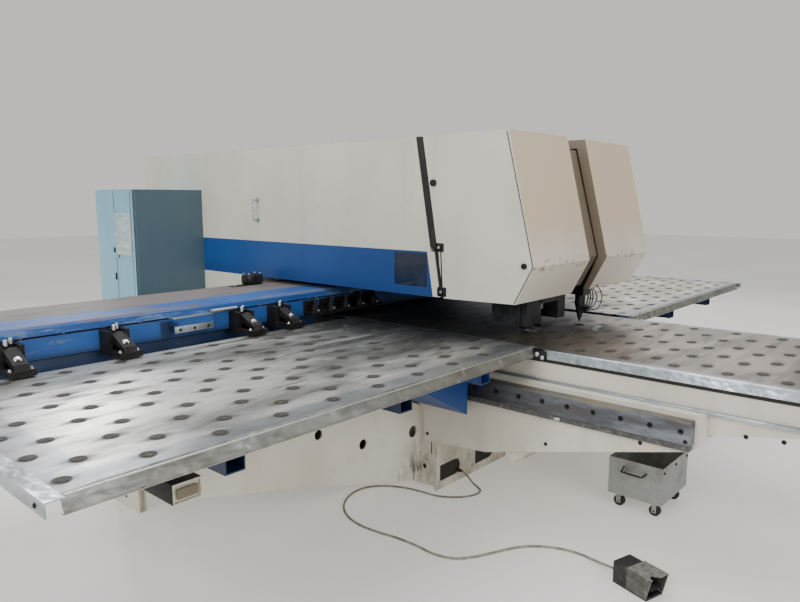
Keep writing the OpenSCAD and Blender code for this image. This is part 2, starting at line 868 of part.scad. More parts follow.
module centre_brushes() {
    color([0.12, 0.12, 0.12]) at_tables() at_centre_brushes() brush(centre_top);
}

module y_rails() {
    n = floor((rail_rear - rail_front - 80) / rail_pitch);
    color([0.45, 0.47, 0.5]) at_tables() both_sides() difference() {
        block([arm_half, rail_front, rail_z], [arm_half + rail_w, rail_rear, rail_z + rail_h]);
        for (k = [0:n])
            translate([arm_half + rail_w - 12, rail_front + 40 + k * rail_pitch, rail_z + 60])
                rotate([0, 90, 0]) cylinder(d = rail_bore, h = 13);
        // Groove for the shoes
        block([arm_half + rail_w - 8, rail_front - eps, rail_z - eps],
              [arm_half + rail_w + eps, rail_rear + eps, rail_z + 16]);
    }
    // Packing between rail and base behind the arm's side plate
    color([0.45, 0.47, 0.5]) at_tables() both_sides()
        block([base_w / 2, -660, rail_z + 10], [arm_half, rail_rear, rail_z + rail_h - 10]);
}

// Side supports

outrigger_y = -620;
notch = 500;
module outrigger_outline(x_out, shrink) {
    slope = 0.2653;
    polygon([
        [-base_w / 2, 35 + shrink], [-x_out, 35 + shrink + (x_out - base_w / 2) * slope],
        [-x_out, 760 - shrink], [-1115 - shrink, 760 - shrink], [-1115 - shrink, 730 - shrink],
        [-base_w / 2, notch - shrink]
    ]);
}

module outrigger() {
    difference() {
        translate([0, outrigger_y + outrigger_d, 0]) rotate([90, 0, 0])
            linear_extrude(outrigger_d) outrigger_outline(outrigger_x, 0);
        translate([0, outrigger_y + outrigger_d - 10, 0]) rotate([90, 0, 0])
            linear_extrude(outrigger_d - 20) outrigger_outline(outrigger_x - 10, 12);
        // Round holes in the front plate
        for (h = [[-1462, 529, 52], [-1144, 390, 56], [-726, 352, 70]])
            translate([h[0], outrigger_y - eps, h[1]]) rotate([-90, 0, 0])
                cylinder(d = h[2], h = 12);
    }
}

module outriggers() {
    color([0.88, 0.86, 0.79]) at_tables() both_sides() outrigger();
}

guide_z = 500;
guide_front = -750;
guide_rear = 760;
module guide_tubes() {
    color([0.84, 0.83, 0.78]) at_tables() both_sides() {
        difference() {
            block([outrigger_x, guide_front, guide_z],
                  [outrigger_x + guide_w, guide_rear, guide_z + guide_h]);
            block([outrigger_x + 7, guide_front - eps, guide_z + 7],
                  [outrigger_x + guide_w - 7, guide_rear + eps, guide_z + guide_h - 7]);
        }
        // End plates set back inside the tube
        for (y = [guide_front + 12, guide_rear - 18])
            block([outrigger_x + 6, y, guide_z + 6],
                  [outrigger_x + guide_w - 6, y + 6, guide_z + guide_h - 6]);
    }
}

// Cross rail

module cross_rail() {
    rear = beam_front + beam_d;
    low = sheet_under;
    color([0.1, 0.3, 0.6]) at_tables() difference() {
        side_plate(-beam_l / 2, beam_l, [
            [beam_front, beam_top - 45], [beam_front, beam_top - 12],
            [beam_front + 12, beam_top], [rear - 20, beam_top], [rear, beam_top - 20],
            [rear, low], [web_y, low], [web_y, beam_top - 45]
        ]);
        side_plate(-beam_l / 2 + beam_t, beam_l - 2 * beam_t, [
            [web_y + beam_t, low + beam_t], [web_y + beam_t, beam_top - beam_t],
            [rear - 25, beam_top - beam_t], [rear - beam_t, beam_top - 25],
            [rear - beam_t, low + beam_t]
        ]);
    }
}

module x_guides() {
    color([0.6, 0.61, 0.63]) at_tables()
        for (z = [985, 1045])
            block([-beam_l / 2 + 30, web_y - guide_t + run_gap, z],
                  [beam_l / 2 - 30, web_y, z + 18]);
}

// Travelling tables

first_brush_x = 90;
function row_y(row) = -table_d + 70 + row * brush_py;
function brush_cols() = floor((half_w - trim_w - table_gap / 2 - 2 * first_brush_x) / brush_px);
function brush_rows() = floor((table_d - 120) / brush_py);

module at_table_brushes() {
    for (row = [0:brush_rows()], col = [0:brush_cols()]) {
        x = half_w - first_brush_x - col * brush_px - (row % 2) * brush_shift;
        y = row_y(row);
        if (x > table_gap / 2 + 40 && y < -35) translate([x, y, 0]) children();
    }
}

module table_sheet() {
    difference() {
        block([table_gap / 2, -table_d, sheet_under], [half_w - trim_w, 0, table_h]);
        at_table_brushes() translate([0, 0, sheet_under - eps])
            cylinder(d = brush_d, h = sheet_t + 2 * eps, $fn = 24);
    }
}

module table_left() {
    color([0.5, 0.49, 0.46]) at_tables() mirror([1, 0, 0]) table_sheet();
}

module table_right() {
    color([0.5, 0.49, 0.46]) at_tables() table_sheet();
}

module tube_y(x) {
    difference() {
        block([x - tube_w / 2, -1280, tube_low], [x + tube_w / 2, 560, tube_mid]);
        block([x - tube_w / 2 + frame_t, -1280 - eps, tube_low + frame_t],
              [x + tube_w / 2 - frame_t, 561, tube_mid - frame_t]);
    }
}

roller_y = 450;
roller_z = guide_z + guide_h + roller_d / 2 + run_gap;
roller_x = outrigger_x + guide_w / 2;
fork_top = tube_low - 10 - run_gap;
module table_frames() {
    color([0.12, 0.25, 0.5]) at_tables() both_sides() mirror([1, 0, 0]) {
        for (x = frame_x) tube_y(x);
        for (y = frame_y)
            difference() {
                block([-half_w + trim_w + 60, y, tube_mid + run_gap],
                      [-table_gap / 2 - 90, y + 60, sheet_under]);
                block([-half_w + trim_w + 59, y + frame_t, tube_mid + frame_t],
                      [-table_gap / 2 - 89, y + 60 - frame_t, sheet_under - frame_t]);
            }
        // Fork that holds the outer roller
        for (s = [-1, 1])
            translate([-roller_x + s * 36 - 5, roller_y - 30, roller_z - 30])
                difference() {
                    cube([10, 60, fork_top - roller_z + 30]);
                    translate([-eps, 30, 30]) rotate([0, 90, 0]) cylinder(d = 21, h = 12);
                }
        block([-roller_x - 60, roller_y - 40, tube_low - 10],
              [frame_x[0] + tube_w / 2 + 160, roller_y + 40, tube_low + 0.5]);
    }
}

module outer_roller() {
    translate([-roller_x, roller_y, roller_z]) rotate([0, 90, 0]) {
        translate([0, 0, -24]) cylinder(d = roller_d, h = 48);
        translate([0, 0, -46]) cylinder(d = 20, h = 92);
        translate([0, 0, -30]) cylinder(d = 40, h = 60);
    }
}

module outer_roller_left() {
    color([0.4, 0.4, 0.42]) at_tables() outer_roller();
}

module outer_roller_right() {
    color([0.4, 0.4, 0.42]) at_tables() mirror([1, 0, 0]) outer_roller();
}

module table_brushes() {
    color([0.12, 0.12, 0.12]) at_tables() both_sides() at_table_brushes() brush(table_h);
}

module side_trims() {
    x = half_w - trim_w;
    color([0.66, 0.68, 0.7]) at_tables() both_sides() front_plate(-table_d - 43, table_d + 43, [
        [x, table_h], [x, sheet_under], [half_w - 4, sheet_under],
        [half_w - 4, table_h - trim_h], [half_w, table_h - trim_h], [half_w, table_h]
    ]);
}

module apron() {
    t = 3;
    low = table_h - apron_h;
    side_plate(table_gap / 2, half_w - trim_w - table_gap / 2, [
        [-table_d, table_h], [-table_d, sheet_under + 1],
        [-table_d - 3, sheet_under - 2], [-table_d - apron_flare, low + 6],
        [-table_d - apron_flare + 14, low], [-table_d - apron_flare + 12, low - 3],
        [-table_d - apron_flare - 3, low + 3], [-table_d - 9, sheet_under + 1],
        [-table_d - 5, table_h]
    ]);
}

module front_aprons() {
    color([0.62, 0.62, 0.6]) at_tables() both_sides() apron();
}

// Blue brackets that carry the gantry on the Y rails

gusset_in = arm_half + rail_w + 5;
gusset_out = 1085;
gusset_low = 545;
module gusset(y, depth) {
    t = 8;
    difference() {
        front_plate(y, depth, [
            [-gusset_in, gusset_low], [-gusset_out, 734], [-gusset_out, tube_mid - run_gap],
            [-frame_x_in, tube_mid - run_gap], [-frame_x_in, tube_low], [-gusset_in, tube_low]
        ]);
        front_plate(y + t, depth, [
            [-gusset_in - t, gusset_low + t + 8], [-gusset_out + t, 734 + t],
            [-gusset_out + t, tube_low - t], [-gusset_in - t, tube_low - t]
        ]);
    }
    // Shoe that runs on top of the rail
    block([-gusset_in - 2, y + 40, rail_z + rail_h + run_gap],
          [-arm_half - 6, y + depth - 40, tube_low - 8]);
}

frame_x_in = 1001;
module gusset_brackets() {
    color([0.08, 0.22, 0.5]) at_tables() both_sides() {
        gusset(-1020, 440);
        gusset(60, 440);
    }
}

// Carriage with clamps and tools

module carriage_bar() {
    color([0.12, 0.28, 0.5]) at_tables() {
        block([bar_left, bar_front, bar_z], [bar_left + bar_l, bar_back, bar_z + bar_h]);
        // Sensor bracket with its steel strip
        block([-1810, bar_front - 50, 1040], [-1580, bar_front + 1, 1082]);
        difference() {
            block([-1812, bar_front - 56, 1006], [-1578, bar_front - 49.5, 1040.5]);
            for (x = [-1780, -1695, -1610])
                translate([x, bar_front - 57, 1022]) rotate([-90, 0, 0])
                    cylinder(d = 10, h = 9);
        }
    }
}

clamp_hinge_z = 1048;
clamp_nose = -60;
module clamp_bodies() {
    color([0.22, 0.22, 0.24]) at_tables() for (x = clamp_x) translate([x, 0, 0]) {
        difference() {
            union() {
                block([-clamp_w / 2, bar_front - 90, 985], [clamp_w / 2, bar_front, 1075]);
                block([-clamp_w / 2, clamp_nose, 958], [clamp_w / 2, bar_front, 986]);
            }
            // Slot and pin bore for the jaw
            block([-clamp_w / 2 + 22, clamp_nose - eps, 975],
                  [clamp_w / 2 - 22, bar_front - 30, 1076]);
        }
        translate([-clamp_w / 2 + 21, bar_front - 60, clamp_hinge_z]) rotate([0, 90, 0])
            cylinder(d = 12, h = clamp_w - 42);
    }
}

module clamp_jaws() {
    color([0.4, 0.4, 0.42]) at_tables() for (x = clamp_x) translate([x, 0, 0])
        difference() {
            side_plate(-clamp_w / 2 + 24, clamp_w - 48, [
                [bar_front - 46, 1062], [bar_front - 74, 1066], [clamp_nose + 20, 1010],
                [clamp_nose + 2, 984], [clamp_nose + 2, 977], [clamp_nose + 40, 977],
                [clamp_nose + 60, 1000], [bar_front - 46, 1030]
            ]);
            translate([-clamp_w / 2, bar_front - 60, clamp_hinge_z]) rotate([0, 90, 0])
                cylinder(d = 13, h = clamp_w);
        }
}

module tool_holders() {
    color([0.45, 0.46, 0.48]) at_tables() for (k = [0:tool_n - 1])
        translate([tool_x0 + k * tool_pitch, 0, 0]) {
            difference() {
                block([-52, bar_front - 95, 985], [52, bar_front, 1003]);
                translate([0, bar_front - 58, 984]) cylinder(d = tool_d - 14, h = 20);
            }
            block([-52, bar_front - 18, 985], [52, bar_front, 1070]);
            translate([0, bar_front - 58, 1003]) cylinder(d = tool_d, h = 26);
            translate([0, bar_front - 58, 1029]) cylinder(d = tool_d - 12, h = 16);
            translate([0, bar_front - 58, 1045]) cylinder(d = 20, h = 50);
            translate([36, bar_front - 30, 1003]) cylinder(d = 12, h = 70);
        }
}

// Electric cabinet

cab_x = -half_arm - cab_w;
cab_y = 1521;
plinth = 60;
module cabinet_body() {
    t = 3;
    color([0.55, 0.68, 0.74]) at_tables() {
        difference() {
            block([cab_x + cab_door_t, cab_y, plinth], [cab_x + cab_w, cab_y + cab_d, cab_h]);
            block([cab_x, cab_y + t, plinth + t],
                  [cab_x + cab_w - t, cab_y + cab_d - t, cab_h - t]);
        }
        // Mounting plate inside, frame returns and plinth
        block([cab_x + cab_w - 60, cab_y + 40, plinth + 60],
              [cab_x + cab_w - 57, cab_y + cab_d - 40, cab_h - 60]);
        for (y = [cab_y + 60, cab_y + cab_d - 80], z = [200, cab_h - 220])
            block([cab_x + cab_w - 58, y, z], [cab_x + cab_w - t + 0.5, y + 20, z + 20]);
        block([cab_x + cab_door_t + 30, cab_y + 20, 0],
              [cab_x + cab_w, cab_y + cab_d - 20, plinth]);
    }
}

module cabinet_door(y, w) {
    difference() {
        block([cab_x, y + 1.5, plinth + 4],
              [cab_x + cab_door_t - 0.5, y + w - 1.5, cab_h - 4]);
        block([cab_x + 3, y + 4.5, plinth + 7], [cab_x + cab_door_t, y + w - 4.5, cab_h - 7]);
    }
    // Hinge tabs and the lock
    for (z = [plinth + 200, cab_h - 260])
        translate([cab_x + cab_door_t / 2, y + 4, z])
            cylinder(d = 8, h = 60);
}

module cabinet_lock(y, z) {
    translate([cab_x, y, z]) rotate([0, -90, 0]) {
        cylinder(d = 30, h = 6);
        translate([-6, -26, 5]) cube([12, 52, 8]);
    }
}

module cabinet_door_front() {
    color([0.64, 0.8, 0.86]) at_tables() {
        cabinet_door(cab_y, cab_d / 2);
        cabinet_lock(cab_y + cab_d / 2 - 30, 1290);
    }
}

module cabinet_door_rear() {
    color([0.64, 0.8, 0.86]) at_tables() {
        mirror([0, 1, 0]) translate([0, -2 * cab_y - cab_d, 0]) cabinet_door(cab_y, cab_d / 2);
    }
}

// Foot switch

switch_x = -840;
switch_back = -1956;
switch_turn = -17;
hood_t = 4;
body_l = 92;
body_w = switch_w - 2 * hood_t - 0.6;
body_h = switch_h - hood_t - 0.3;
pedal_y = -body_l - 14;
pedal_z = 42;

// Children stand on the floor at the rear of the switch and turn with it
module at_switch() {
    translate([switch_x, switch_back, 0]) rotate([0, 0, switch_turn]) children();
}

module switch_base() {
    cheek_x = body_w / 2 - 12;
    color([0.1, 0.1, 0.1]) at_tables() at_switch() {
        block([-body_w / 2, -switch_l + 24, 0], [body_w / 2, 0, 10]);
        block([-body_w / 2, -body_l, 9], [body_w / 2, 0, body_h]);
        // Bearing cheeks for the pedal's axle
        both_sides() difference() {
            block([cheek_x, pedal_y - 12, 9], [cheek_x + 8, -body_l + eps, pedal_z + 12]);
            translate([cheek_x - eps, pedal_y, pedal_z]) rotate([0, 90, 0])
                cylinder(d = 9, h = 8 + 2 * eps);
        }
    }
}

module switch_hood() {
    w = switch_w / 2;
    h = switch_h;
    rear = -body_l + 14;
    color([0.5, 0.49, 0.45]) at_tables() at_switch()
        difference() {
            side_plate(-w, switch_w, [
                [rear, 10.3], [rear, h], [-switch_l, h], [-switch_l + 24, 10.3]
            ]);
            side_plate(-w + hood_t, switch_w - 2 * hood_t, [
                [rear + eps, 0], [rear + eps, h - hood_t], [-switch_l - eps, h - hood_t],
                [-switch_l - eps, 0]
            ]);
            // Notch in the roof's front edge
            translate([0, 0, h - hood_t - eps]) linear_extrude(hood_t + 2 * eps) polygon([
                [-w + 10, -switch_l - eps], [-w + 16, -switch_l + 20],
                [-w + 38, -switch_l + 30], [-w + 60, -switch_l - eps]
            ]);
        }
}

module switch_pedal() {
    cheek_in = body_w / 2 - 12;
    front = -switch_l + 14;
    color([0.15, 0.15, 0.15]) at_tables() at_switch() {
        side_plate(-cheek_in + 3, 2 * cheek_in - 6, [
            [pedal_y + 5, pedal_z - 4], [pedal_y + 5, pedal_z + 6], [pedal_y - 6, pedal_z + 10],
            [front + 20, pedal_z + 14], [front, pedal_z + 6], [front + 3, pedal_z + 1],
            [front + 22, pedal_z + 7], [pedal_y - 6, pedal_z - 4]
        ]);
        translate([-cheek_in - 6, pedal_y, pedal_z]) rotate([0, 90, 0])
            cylinder(d = 8, h = 2 * cheek_in + 12);
    }
}

// Cord of the foot switch, laid on the floor

cord_z = cord_d / 2 + 0.6;
cord_exit = [-457, base_front, 70];
cord_path = [
    [-457, -758, 70], [-457, -790, 68], [-458, -830, 46], [-462, -870, 19],
    [-472, -910, 8],  [-500, -950, cord_z], [-550, -960, cord_z],
    [-620, -935, cord_z], [-680, -880, cord_z], [-725, -800, cord_z],
    [-740, -700, cord_z], [-760, -600, cord_z], [-810, -500, cord_z],
    [-890, -425, cord_z], [-985, -405, cord_z], [-1090, -435, cord_z],
    [-1180, -500, cord_z], [-1245, -600, cord_z], [-1272, -720, cord_z],
    [-1265, -840, cord_z], [-1245, -960, cord_z], [-1240, -1080, cord_z],
    [-1245, -1190, cord_z], [-1215, -1290, cord_z], [-1140, -1355, cord_z],
    [-1040, -1405, cord_z], [-930, -1460, cord_z], [-850, -1530, cord_z],
    [-795, -1630, cord_z], [-778, -1720, cord_z], [-788, -1790, 9],
    [-808, -1855, 17], [-824, -1904, 26], [-833, -1932, 28]
];
cord_sides = 8;

function unit(v) = v / norm(v);
function cord_dir(p, i) = unit(p[min(i + 1, len(p) - 1)] - p[max(i - 1, 0)]);
function cord_ring(c, d, r) =
    let (side = unit(cross([0, 0, 1], d)), up = cross(d, side))
    [for (k = [0:cord_sides - 1])
        c + r * (cos(360 * k / cord_sides) * side + sin(360 * k / cord_sides) * up)];

// Points between the route's own points, on a smooth curve through them
function cord_mid(p, i, u) =
    let (a = p[max(i - 1, 0)], b = p[i], c = p[i + 1], d = p[min(i + 2, len(p) - 1)])
    0.5 * (2 * b + (c - a) * u + (2 * a - 5 * b + 4 * c - d) * u * u
        + (3 * b - a - 3 * c + d) * u * u * u);
function cord_fine(p, n) = concat(
    [for (i = [0:len(p) - 2], k = [0:n - 1]) cord_mid(p, i, k / n)], [p[len(p) - 1]]);

module cord_tube(route, d) {
    p = cord_fine(route, 2);
    n = len(p);
    rings = [for (i = [0:n - 1]) cord_ring(p[i], cord_dir(p, i), d / 2)];
    m = cord_sides;
    faces = concat(
        [[for (k = [m - 1:-1:0]) k]],
        [for (i = [0:n - 2], k = [0:m - 1])
            [i * m + k, i * m + (k + 1) % m, (i + 1) * m + (k + 1) % m, (i + 1) * m + k]],
        [[for (k = [0:m - 1]) (n - 1) * m + k]]);
    polyhedron(points = [for (r = rings) each r], faces = faces);
}

module switch_cord() {
    color([0.5, 0.5, 0.48]) at_tables() cord_tube(cord_path, cord_d);
}

module cord_gland() {
    color([0.12, 0.12, 0.12]) at_tables() {
        // On the base's front wall
        translate([cord_exit[0], base_front, cord_exit[2]]) rotate([90, 0, 0])
            cylinder(d = 30, h = 12);
        // On the switch
        at_switch() translate([0, 0, 28]) rotate([-90, 0, 0]) cylinder(d1 = 26, d2 = 16, h = 25);
    }
}

// Scrap bin

bin_x = -170;
bin_y = -1885;
bin_z = 80;
bin_sheet = 3;
module scrap_bin() {
    color([0.6, 0.6, 0.58]) at_tables() {
        difference() {
            block([bin_x, bin_y, bin_z], [bin_x + bin_w, bin_y + bin_l, bin_z + bin_h]);
            block([bin_x + bin_sheet, bin_y + bin_sheet, bin_z + bin_sheet],
                  [bin_x + bin_w - bin_sheet, bin_y + bin_l - bin_sheet, bin_z + bin_h + eps]);
        }
        // Bow handle on the left wall
        for (y = [bin_y + bin_l / 2 - 50, bin_y + bin_l / 2 + 50])
            translate([bin_x + 1, y, bin_z + 150]) rotate([0, -90, 0])
                cylinder(d = 8, h = 36);
        translate([bin_x - 33, bin_y + bin_l / 2 - 50, bin_z + 150]) rotate([-90, 0, 0])
            cylinder(d = 8, h = 100);
    }
}

wheel_in = 50;
module bin_forks() {
    color([0.4, 0.4, 0.42]) at_tables()
        for (x = [bin_x + wheel_in, bin_x + bin_w - wheel_in],
             y = [bin_y + wheel_in, bin_y + bin_l - wheel_in]) {
            block([x - 22, y - 20, bin_z - 4], [x + 22, y + 20, bin_z]);
            for (s = [-1, 1])
                difference() {
                    block([x + s * 18 - 2, y - 12, 20], [x + s * 18 + 2, y + 12, bin_z - 3]);
                    translate([x - 25, y, bin_wheel_d / 2]) rotate([0, 90, 0])
                        cylinder(d = 9, h = 50);
                }
        }
}

module bin_wheels(y) {
    for (x = [bin_x + wheel_in, bin_x + bin_w - wheel_in])
        translate([x - 12, y, bin_wheel_d / 2]) rotate([0, 90, 0])
            cylinder(d = bin_wheel_d, h = 24);
    translate([bin_x + wheel_in - 24, y, bin_wheel_d / 2]) rotate([0, 90, 0])
        cylinder(d = 8, h = bin_w - 2 * wheel_in + 48);
}

module bin_wheels_front() {
    color([0.15, 0.15, 0.15]) at_tables() bin_wheels(bin_y + wheel_in);
}

module bin_wheels_rear() {
    color([0.15, 0.15, 0.15]) at_tables() bin_wheels(bin_y + bin_l - wheel_in);
}

base_frame();
levelling_feet();
c_frame();
flank_cover_left();
flank_cover_right();
stripe_panel_left();
stripe_panel_right();
stripe_windows();
arm_roof();
rear_cover();
column_cover();
flank_handles();
seam_strips();
recess_panel();
hinge_pins();
head_door_left();
head_door_right();
ram_housing();
ram();
punch_tool();
stripper();
die_holder();
die();
laser_mount();
laser_head();
laser_cables();
front_arm();
centre_table();
centre_trims();
centre_brushes();
y_rails();
outriggers();
guide_tubes();
cross_rail();
x_guides();
table_left();
table_right();
table_frames();
table_brushes();
side_trims();
front_aprons();
gusset_brackets();
outer_roller_left();
outer_roller_right();
carriage_bar();
clamp_bodies();
clamp_jaws();
tool_holders();
cabinet_body();
cabinet_door_front();
cabinet_door_rear();
switch_base();
switch_hood();
switch_pedal();
cord_gland();
switch_cord();
scrap_bin();
bin_forks();
bin_wheels_front();
bin_wheels_rear();
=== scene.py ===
"""Looks for the punching and laser cutting machine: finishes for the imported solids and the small
pieces that sit on them."""

from math import radians

import bmesh
import bpy
from mathutils import Euler, Matrix, Vector


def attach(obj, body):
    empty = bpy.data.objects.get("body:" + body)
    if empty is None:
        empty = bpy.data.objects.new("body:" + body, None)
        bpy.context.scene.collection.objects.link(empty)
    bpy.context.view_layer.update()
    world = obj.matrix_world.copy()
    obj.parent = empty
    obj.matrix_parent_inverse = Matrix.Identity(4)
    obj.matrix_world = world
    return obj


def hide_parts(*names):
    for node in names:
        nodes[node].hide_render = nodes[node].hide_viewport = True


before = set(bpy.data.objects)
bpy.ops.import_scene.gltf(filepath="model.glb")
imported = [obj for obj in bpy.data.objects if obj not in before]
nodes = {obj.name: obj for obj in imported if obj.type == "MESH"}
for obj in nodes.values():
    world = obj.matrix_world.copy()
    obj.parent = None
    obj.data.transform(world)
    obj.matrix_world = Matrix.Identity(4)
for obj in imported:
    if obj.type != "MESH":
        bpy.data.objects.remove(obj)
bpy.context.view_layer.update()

# Places are written as in the CAD: millimetres, Y from the tables' rear edge.
MM = 0.001
REAR_EDGE_Y = 0.125


def at(x, y, z):
    return Vector((x * MM, y * MM + REAR_EDGE_Y, z * MM))


# Camera

SENSOR_WIDTH = 36
FOCAL_LENGTH = 30.42
EYE = (-3.643, -2.965, 1.70)
LOOKS_DOWN = 8.5
TURNED = -48.6

camera_data = bpy.data.cameras.new("camera")
camera_data.sensor_width = SENSOR_WIDTH
camera_data.lens = FOCAL_LENGTH
camera_data.clip_end = 200
camera = bpy.data.objects.new("camera", camera_data)
camera.location = EYE
camera.rotation_euler = Euler((radians(90 - LOOKS_DOWN), 0, radians(TURNED)))
bpy.context.scene.collection.objects.link(camera)
bpy.context.scene.camera = camera


# Cord of the foot switch

CORD_D = 12
CORD_STEPS = 5
# Height of the cord's middle where it lies on the floor
FLOOR_LINE = CORD_D / 2 + 0.6
CORD_ROUTE = [
    (-457, -758, 70), (-457, -790, 68), (-458, -830, 46), (-462, -870, 19), (-472, -910, 8),
    (-500, -950, FLOOR_LINE), (-550, -960, FLOOR_LINE), (-620, -935, FLOOR_LINE),
    (-680, -880, FLOOR_LINE), (-725, -800, FLOOR_LINE), (-740, -700, FLOOR_LINE),
    (-760, -600, FLOOR_LINE), (-810, -500, FLOOR_LINE), (-890, -425, FLOOR_LINE),
    (-985, -405, FLOOR_LINE), (-1090, -435, FLOOR_LINE), (-1180, -500, FLOOR_LINE),
    (-1245, -600, FLOOR_LINE), (-1272, -720, FLOOR_LINE), (-1265, -840, FLOOR_LINE),
    (-1245, -960, FLOOR_LINE), (-1240, -1080, FLOOR_LINE), (-1245, -1190, FLOOR_LINE),
    (-1215, -1290, FLOOR_LINE), (-1140, -1355, FLOOR_LINE), (-1040, -1405, FLOOR_LINE),
    (-930, -1460, FLOOR_LINE), (-850, -1530, FLOOR_LINE), (-795, -1630, FLOOR_LINE),
    (-778, -1720, FLOOR_LINE), (-788, -1790, 9), (-808, -1855, 17), (-824, -1904, 26),
    (-833, -1932, 28),
]


def smooth_line(points, steps):
    """Points on the smooth curve that passes through the given points."""
    line = []
    for i in range(len(points) - 1):
        a, b, c, d = (points[min(max(k, 0), len(points) - 1)] for k in (i - 1, i, i + 1, i + 2))
        for u in (k / steps for k in range(steps)):
            line.append(0.5 * (2 * b + (c - a) * u + (2 * a - 5 * b + 4 * c - d) * u * u
                               + (3 * b - a - 3 * c + d) * u * u * u))
    return line + [points[-1]]


def run_of(line):
    return sum((b - a).length for a, b in zip(line, line[1:]))


def tube_curve(name, line, diameter, rounds=3):
    """A curve of one open spline along the line, as thick as the diameter."""
    curve = bpy.data.curves.new(name, "CURVE")
    curve.dimensions = "3D"
    curve.bevel_depth = diameter / 2
    curve.bevel_resolution = rounds
    curve.use_fill_caps = True
    spline = curve.splines.new("POLY")
    spline.points.add(len(line) - 1)
    for point, place in zip(spline.points, line):
        point.co = (*place, 1)
    spline.use_smooth = True
    tube = bpy.data.objects.new(name, curve)
    bpy.context.scene.collection.objects.link(tube)
    return tube


cord_line = smooth_line([at(*p) for p in CORD_ROUTE], CORD_STEPS)
foot_switch_cord = tube_curve("foot_switch_cord", cord_line, CORD_D * MM)


# Finishes

def screen(red, green, blue):
    """Scene colour of a colour read as 0 to 255 on a screen."""
    return tuple(c / 255 / 12.92 if c <= 10 else ((c / 255 + 0.055) / 1.055) ** 2.4
                 for c in (red, green, blue)) + (1,)


class Wire:
    """An output of a finish's nodes. Sums with numbers and other outputs add Math nodes."""

    def __init__(self, finish, socket):
        self.finish = finish
        self.socket = socket

    def maths(self, operation, *terms):
        return self.finish.node("ShaderNodeMath", {"operation": operation}, dict(enumerate(terms)))

    def __add__(self, other):
        return self.maths("ADD", self, other)

    def __sub__(self, other):
        return self.maths("SUBTRACT", self, other)

    def __rsub__(self, other):
        return self.maths("SUBTRACT", other, self)

    def __mul__(self, other):
        return self.maths("MULTIPLY", self, other)

    def __truediv__(self, other):
        return self.maths("DIVIDE", self, other)

    def __pow__(self, other):
        return self.maths("POWER", self, other)

    __radd__ = __add__
    __rmul__ = __mul__

    def whole(self):
        return self.maths("ROUND", self)

    def size(self):
        return self.maths("ABSOLUTE", self)

    def odd(self):
        return self.maths("FLOORED_MODULO", self, 2.0)

    def most(self, other):
        return self.maths("MAXIMUM", self, other)

    def least(self, other):
        return self.maths("MINIMUM", self, other)

    def step(self, low, high):
        """0 below low, 1 above high and smooth between; high below low turns it round."""
        settings = {"interpolation_type": "SMOOTHSTEP"}
        if low < high:
            return self.finish.node("ShaderNodeMapRange", settings, {0: self, 1: low, 2: high})
        made = self.finish.node("ShaderNodeMapRange", settings, {0: self, 1: high, 2: low})
        return 1.0 - made


class Finish:
    """A material that is built node by node, on the object's own coordinates."""

    def __init__(self, name):
        self.material = bpy.data.materials.new(name)
        self.material.use_nodes = True
        self.tree = self.material.node_tree
        self.tree.nodes.clear()
        self.place = self.node("ShaderNodeTexCoord", output="Object")
        split = {k: self.node("ShaderNodeSeparateXYZ", {}, {0: self.place}, k) for k in "XYZ"}
        self.x, self.y, self.z = split["X"], split["Y"], split["Z"]

    def node(self, kind, settings=None, inputs=None, output=0):
        made = self.tree.nodes.new(kind)
        for key, value in (settings or {}).items():
            setattr(made, key, value)
        for key, value in (inputs or {}).items():
            if isinstance(value, Wire):
                self.tree.links.new(value.socket, made.inputs[key])
            else:
                made.inputs[key].default_value = value
        return Wire(self, made.outputs[output]) if made.outputs else None

    def stretched(self, stretch):
        return self.node("ShaderNodeMapping", {}, {"Vector": self.place, "Scale": stretch})

    def noise(self, scale, stretch=(1, 1, 1), detail=3.0, rough=0.55, twist=0.0):
        return self.node("ShaderNodeTexNoise", {}, {
            "Vector": self.stretched(stretch), "Scale": scale, "Detail": detail,
            "Roughness": rough, "Distortion": twist})

    def cells(self, scale):
        return self.node("ShaderNodeTexVoronoi", {}, {"Vector": self.place, "Scale": scale},
                         "Distance")

    def facing(self, axis):
        """How far the surface faces along an axis of the object, from -1 to 1."""
        normal = self.node("ShaderNodeTexCoord", output="Normal")
        return self.node("ShaderNodeSeparateXYZ", {}, {0: normal}, axis)

    def edges(self, radius):
        """About 1 on edges and near 0 on flat places."""
        soft = self.node("ShaderNodeBevel", {"samples": 4}, {"Radius": radius})
        hard = self.node("ShaderNodeNewGeometry", output="Normal")
        same = self.node("ShaderNodeVectorMath", {"operation": "DOT_PRODUCT"},
                         {0: soft, 1: hard}, "Value")
        return (1.0 - same).step(0.02, 0.2)

    def mix(self, share, under, over):
        return self.node("ShaderNodeMix", {"data_type": "RGBA"}, {0: share, 6: under, 7: over}, 2)

    def surface(self, colour, rough, metal=0.0, height=None, depth=0.001, coat=0.0):
        inputs = {"Base Color": colour, "Roughness": rough, "Metallic": metal,
                  "Coat Weight": coat}
        if height is not None:
            inputs["Normal"] = self.node("ShaderNodeBump", {}, {
                "Height": height, "Distance": depth, "Strength": 1.0})
        shader = self.node("ShaderNodeBsdfPrincipled", {}, inputs)
        self.node("ShaderNodeOutputMaterial", {}, {"Surface": shader})
        return self.material


# The tables' brush inserts stand in rows, and each odd row is shifted. X and Y of a first
# insert; on a side table X is the distance from the machine's middle.
ROW_STEP = 118
COLUMN_STEP = 250
ODD_ROW_SHIFT = 95
SIDE_INSERTS = (2945, -1254)
CENTRE_INSERTS = (-500, -2490)

# Height of the fold across the head's front
HEAD_FOLD_Z = 1370


